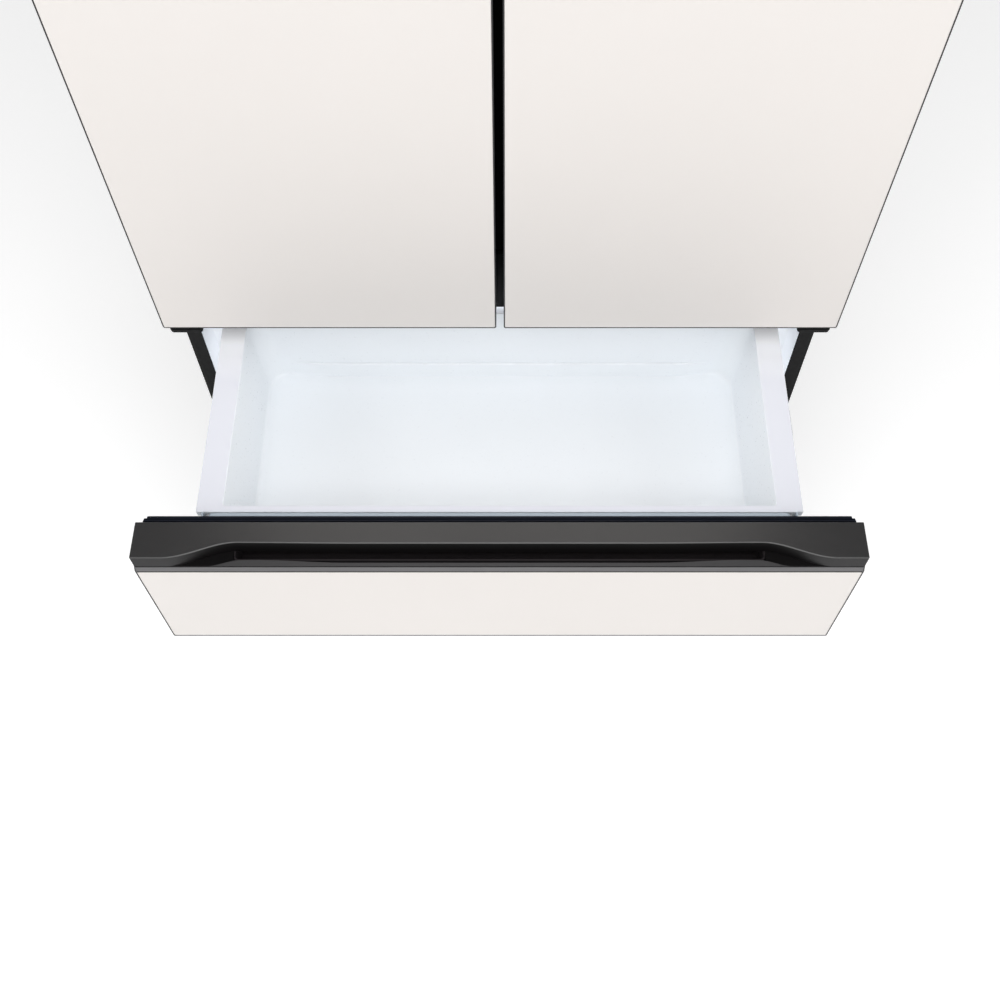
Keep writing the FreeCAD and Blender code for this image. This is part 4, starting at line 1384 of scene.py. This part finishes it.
def hinges():
    """Rounded hinge plates and pins, with a bush plate on each middle bracket."""
    node = "door_hinges"
    edge_round = 0.6 * MM
    inner = 403.0 * MM
    outer = 446.0 * MM
    head_gap = 3.6 * MM
    foot_gap = 10.2 * MM
    front_gap = 0.3 * MM
    reach = 48.0 * MM
    bush_corner = 4.0 * MM
    bush_round = 0.8 * MM
    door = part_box("right_door_frame")[0]
    front = door.y + front_gap
    over = door.z - head_gap
    under = door.z - foot_gap
    brackets = softened(node, "flange", edge_round)
    plate = formed("bush_plate", "flange", (inner, front, under), (outer, door.y + reach, over),
                   (both(runs_along(Z), ends_at(Y, front)), bush_corner, 4),
                   (either(ends_at(Z, over), ends_at(Z, under)), bush_round, 2))
    other = copied(plate, "bush_plate_left", (-inner - outer, 0.0, 0.0))
    stand_for(joined([brackets, plate, other]), node)


def hinge_cover_pair():
    """Closed caps over the top hinges, open below, with a notch where a hinge plate comes out."""
    node = "hinge_covers"
    wall = 2.0 * MM
    inner = 416.0 * MM
    corner = 3.0 * MM
    top_round = 4.0 * MM
    notch_side = 3.2 * MM
    notch_gap = 0.4 * MM
    low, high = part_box(node)
    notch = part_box("hinge_screws")[0].z - low.z + notch_gap
    piece = block("hinge_cover", (inner, low.y, low.z), high)
    round_edges(runs_along(Z), corner, steps=4)
    round_edges(ends_at(Z, high.z), top_round, steps=4)
    remove_faces(faces_to(Z, -1))
    slice_at(X, (high.x - notch_side,))
    def notched(place):
        if at(place.z, low.z) and place.x > high.x - notch_side + SNAP:
            place.z += notch
        return place
    shape(notched)
    walled(piece, wall)
    dress(piece, "black")
    other = copied(piece, "hinge_cover_left", (0.0, 0.0, 0.0))
    edit(other)
    shape(lambda place: Vector((-place.x, place.y, place.z)))
    smooth(other)
    stand_for(joined([piece, other]), node)


def cabinet_wrap():
    """The folded sheet of the cabinet's sides and top, with rounded folds."""
    node = "cabinet_shell"
    sheet = 1.0 * MM
    fold = 2.4 * MM
    low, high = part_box(node)
    piece = block("cabinet_wrap", low, high)
    remove_faces(either(faces_to(Y, 1), faces_to(Y, -1), faces_to(Z, -1)))
    round_edges(both(runs_along(Y), ends_at(Z, high.z)), fold, steps=4)
    walled(piece, sheet)
    dress(piece, "cabinet")
    stand_for(piece, node)


def back_sheet():
    """The rear sheet with three pressed fields."""
    node = "back_panel"
    press = 0.8 * MM
    margin = 42.0 * MM
    gap = 30.0 * MM
    fields = 3
    border = 2.5 * MM
    corner = 14.0 * MM
    low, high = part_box(node)
    width = (high.x - low.x - 2 * margin - (fields - 1) * gap) / fields
    starts = [low.x + margin + index * (width + gap) for index in range(fields)]
    piece = block("back_sheet", low, (high.x, high.y - press, high.z))
    slice_at(X, [start + step for start in starts for step in (0.0, width)])
    slice_at(Z, (low.z + margin, high.z - margin))
    def field(face):
        spot = middle(face)
        return (faces_to(Y, 1)(face) and low.z + margin < spot.z < high.z - margin
                and any(start < spot.x < start + width for start in starts))
    pick("FACE", field)
    extrude((0.0, press, 0.0))
    inset(border, one_by_one=True)
    round_edges(lambda edge: runs_along(Y)(edge) and middle(edge).y > high.y - press, corner, steps=5)
    dress(piece, "zinc")
    stand_for(piece, node)


# Nodes whose own shape is right and only wants softer edges: the finish and the rounding in millimetres
SOFT_NODES = {
    "cabinet_front_frame": ("flange", 0.5),
    "divider_bars": ("flange", 0.5),
    "hinge_screws": ("zinc", 0.6),
    "machine_cover": ("zinc", 0.25),
    "power_inlet": ("black", 0.4),
    "toe_grille": ("black", 0.8),
    "drawer_inner_rails": ("rail", 0.5),
    "freezer_inner_rails": ("rail", 0.5),
    "drawer_middle_rails": ("rail", 0.4),
    "freezer_middle_rails": ("rail", 0.4),
    "outer_rails": ("rail", 0.4),
    "evaporator_cover": ("liner", 0.8),
    "drain_pan": ("black", 0.5),
    "compressor": ("enamel", 0.8),
    "right_levelling_leg": ("zinc", 0.8),
    "left_levelling_leg": ("zinc", 0.8),
    "right_rear_roller": ("grey", 1.5),
    "left_rear_roller": ("grey", 1.5),
    "base_pan": ("zinc", 0.4),
}


# Stage

FLOOR_SIZE = 14.0           # in metres
SENSOR_WIDTH = 36.0         # in millimetres


def studio_world(view):
    """White surroundings that are brighter in front of the object than behind it."""
    world = bpy.data.worlds.new("white_studio")
    world.use_nodes = True
    nodes = world.node_tree.nodes
    links = world.node_tree.links
    split = nodes.new("ShaderNodeSeparateXYZ")
    links.new(nodes.new("ShaderNodeTexCoord").outputs["Generated"], split.inputs["Vector"])
    ramp = nodes.new("ShaderNodeMapRange")
    ramp.interpolation_type = "SMOOTHSTEP"
    for name, value in (("From Min", -0.2), ("From Max", 0.5),
                        ("To Min", view.sky), ("To Max", view.sky * view.rear_sky)):
        ramp.inputs[name].default_value = value
    links.new(split.outputs["Y"], ramp.inputs["Value"])
    links.new(ramp.outputs["Result"], nodes["Background"].inputs["Strength"])
    nodes["Background"].inputs["Color"].default_value = (1.0, 1.0, 1.0, 1.0)
    return world


def studio_lamp(name, place, aim, side, power):
    """A square lamp at a place that looks at another one, in metres and watts."""
    place = Vector(place)
    bpy.ops.object.light_add(type="AREA", location=place)
    lamp = bpy.context.object
    lamp.name = name
    lamp.data.energy = power
    lamp.data.size = side
    lamp.rotation_euler = (Vector(aim) - place).to_track_quat("-Z", "Y").to_euler()


# Operators

class REFRIGERATOR_OT_finishes(bpy.types.Operator):
    """Make the finishes and give every carried-over node the one of its slot"""
    bl_idname = "refrigerator.finishes"
    bl_label = "Finishes"

    def execute(self, context):
        finishes.update(make_finishes())
        for node, thing in frame["nodes"].items():
            paint(thing, SLOT_FINISH[slot_of(node)])
        return {"FINISHED"}


class REFRIGERATOR_OT_front_panels(bpy.types.Operator):
    """Model the glass panels of the doors and drawers"""
    bl_idname = "refrigerator.front_panels"
    bl_label = "Front panels"

    def execute(self, context):
        for side in DOORS:
            front_panel(side + "_door_panel")
        for name in DRAWERS:
            front_panel(name + "_front_panel", sizes().strip_drop, sizes().panel_foot)
        return {"FINISHED"}


class REFRIGERATOR_OT_edge_frames(bpy.types.Operator):
    """Model the thin frames round the panels"""
    bl_idname = "refrigerator.edge_frames"
    bl_label = "Edge frames"

    def execute(self, context):
        for side in DOORS:
            door_edge_frame(side)
        for name in DRAWERS:
            drawer_edge_frame(name)
        return {"FINISHED"}


class REFRIGERATOR_OT_handles(bpy.types.Operator):
    """Model the handle caps with their finger pockets"""
    bl_idname = "refrigerator.handles"
    bl_label = "Handles"

    def execute(self, context):
        for name in DRAWERS:
            handle(name)
        return {"FINISHED"}


class REFRIGERATOR_OT_drawer_bins(bpy.types.Operator):
    """Model the moulded bins of the two drawers"""
    bl_idname = "refrigerator.drawer_bins"
    bl_label = "Drawer bins"

    def execute(self, context):
        for name in DRAWERS:
            drawer_tub(name)
        return {"FINISHED"}


class REFRIGERATOR_OT_front_insides(bpy.types.Operator):
    """Model the inner plates of the drawer fronts"""
    bl_idname = "refrigerator.front_insides"
    bl_label = "Front insides"

    def execute(self, context):
        for name in DRAWERS:
            front_inside(name)
        return {"FINISHED"}


class REFRIGERATOR_OT_seals(bpy.types.Operator):
    """Model the bellows seals of the doors and drawers"""
    bl_idname = "refrigerator.seals"
    bl_label = "Seals"

    def execute(self, context):
        for side in DOORS:
            seal(side + "_door_gasket")
        for name in DRAWERS:
            seal(name + "_gasket")
        return {"FINISHED"}


class REFRIGERATOR_OT_compartments(bpy.types.Operator):
    """Model the liners of the fresh-food space and the two drawer spaces"""
    bl_idname = "refrigerator.compartments"
    bl_label = "Compartments"

    def execute(self, context):
        fresh_food_compartment()
        drawer_compartments()
        return {"FINISHED"}


class REFRIGERATOR_OT_shelves(bpy.types.Operator):
    """Model the glass shelves, the air duct and the ceiling lamp"""
    bl_idname = "refrigerator.shelves"
    bl_label = "Shelves and fittings"

    def execute(self, context):
        glass_shelf_set()
        air_duct()
        ceiling_lamp()
        return {"FINISHED"}


class REFRIGERATOR_OT_door_insides(bpy.types.Operator):
    """Model the inner sides and the bins of the doors"""
    bl_idname = "refrigerator.door_insides"
    bl_label = "Door insides"

    def execute(self, context):
        for side in DOORS:
            door_inner(side)
            door_bin_set(side)
        return {"FINISHED"}


class REFRIGERATOR_OT_cabinet(bpy.types.Operator):
    """Model the cabinet's sheets, the post between the doors and the hinges"""
    bl_idname = "refrigerator.cabinet"
    bl_label = "Cabinet"

    def execute(self, context):
        cabinet_wrap()
        back_sheet()
        mullion()
        hinges()
        hinge_cover_pair()
        return {"FINISHED"}


class REFRIGERATOR_OT_soft_edges(bpy.types.Operator):
    """Round the edges of the pieces whose own shape is right"""
    bl_idname = "refrigerator.soft_edges"
    bl_label = "Soft edges"

    def execute(self, context):
        for node, (finish, width) in SOFT_NODES.items():
            stand_for(softened(node, finish, width * MM), node)
        return {"FINISHED"}


class REFRIGERATOR_OT_stage(bpy.types.Operator):
    """Set the pale floor, the soft light and the photograph's camera"""
    bl_idname = "refrigerator.stage"
    bl_label = "Stage"

    def execute(self, context):
        view = context.scene.refrigerator_view
        start_clean()
        bpy.ops.mesh.primitive_plane_add(size=FLOOR_SIZE, location=(0.0, 0.0, 0.0))
        floor = context.object
        floor.name = "studio_floor"
        finishes["floor"] = studio_floor(view)
        paint(floor, "floor")
        context.scene.world = studio_world(view)
        studio_lamp("key_lamp", place=(0.0, -1.4, 3.05), aim=(0.0, -0.30, 0.6), side=1.8, power=view.key)
        studio_lamp("fill_lamp", place=(0.0, -3.2, 2.3), aim=(0.0, 0.0, 0.9), side=2.6, power=view.fill)
        for name, sign in (("left_lamp", -1), ("right_lamp", 1)):
            studio_lamp(name, place=(2.4 * sign, -0.7, 1.6), aim=(0.0, -0.3, 0.7), side=1.4,
                        power=view.side)
        studio_lamp("drawer_lamp", place=(0.0, 0.04, 0.733), aim=(0.0, -0.10, 0.55), side=0.3,
                    power=view.drawer)
        bpy.ops.object.camera_add(location=view.camera,
                                  rotation=(math.radians(90.0) - view.tilt, 0.0, 0.0))
        camera = context.object
        camera.name = "photograph_camera"
        camera.data.sensor_width = SENSOR_WIDTH
        camera.data.lens = view.lens
        camera.data.shift_x = view.shift
        context.scene.camera = camera
        context.scene.view_settings.view_transform = "Standard"
        return {"FINISHED"}


class REFRIGERATOR_PT_sidebar(bpy.types.Panel):
    """Lists the pieces in the order that they are made"""
    bl_idname = "REFRIGERATOR_PT_sidebar"
    bl_label = "Refrigerator"
    bl_space_type = "VIEW_3D"
    bl_region_type = "UI"
    bl_category = "Refrigerator"

    def draw(self, context):
        for operator in OPERATORS:
            self.layout.operator(operator.bl_idname)
        for group in (context.scene.refrigerator_sizes, context.scene.refrigerator_finish,
                      context.scene.refrigerator_view):
            box = self.layout.box()
            for name in group.__annotations__:
                box.prop(group, name)


GROUPS = (RefrigeratorSizes, RefrigeratorFinish, RefrigeratorView)
OPERATORS = (
    REFRIGERATOR_OT_finishes,
    REFRIGERATOR_OT_front_panels,
    REFRIGERATOR_OT_edge_frames,
    REFRIGERATOR_OT_handles,
    REFRIGERATOR_OT_drawer_bins,
    REFRIGERATOR_OT_front_insides,
    REFRIGERATOR_OT_seals,
    REFRIGERATOR_OT_compartments,
    REFRIGERATOR_OT_shelves,
    REFRIGERATOR_OT_door_insides,
    REFRIGERATOR_OT_cabinet,
    REFRIGERATOR_OT_soft_edges,
    REFRIGERATOR_OT_stage,
)


def register():
    for made in GROUPS + OPERATORS + (REFRIGERATOR_PT_sidebar,):
        bpy.utils.register_class(made)
    bpy.types.Scene.refrigerator_sizes = PointerProperty(type=RefrigeratorSizes)
    bpy.types.Scene.refrigerator_finish = PointerProperty(type=RefrigeratorFinish)
    bpy.types.Scene.refrigerator_view = PointerProperty(type=RefrigeratorView)


def unregister():
    del bpy.types.Scene.refrigerator_view
    del bpy.types.Scene.refrigerator_finish
    del bpy.types.Scene.refrigerator_sizes
    for made in reversed(GROUPS + OPERATORS + (REFRIGERATOR_PT_sidebar,)):
        bpy.utils.unregister_class(made)


def main():
    register()
    for operator in OPERATORS:
        getattr(bpy.ops.refrigerator, operator.bl_idname.split(".")[1])()


if __name__ == "__main__":
    main()
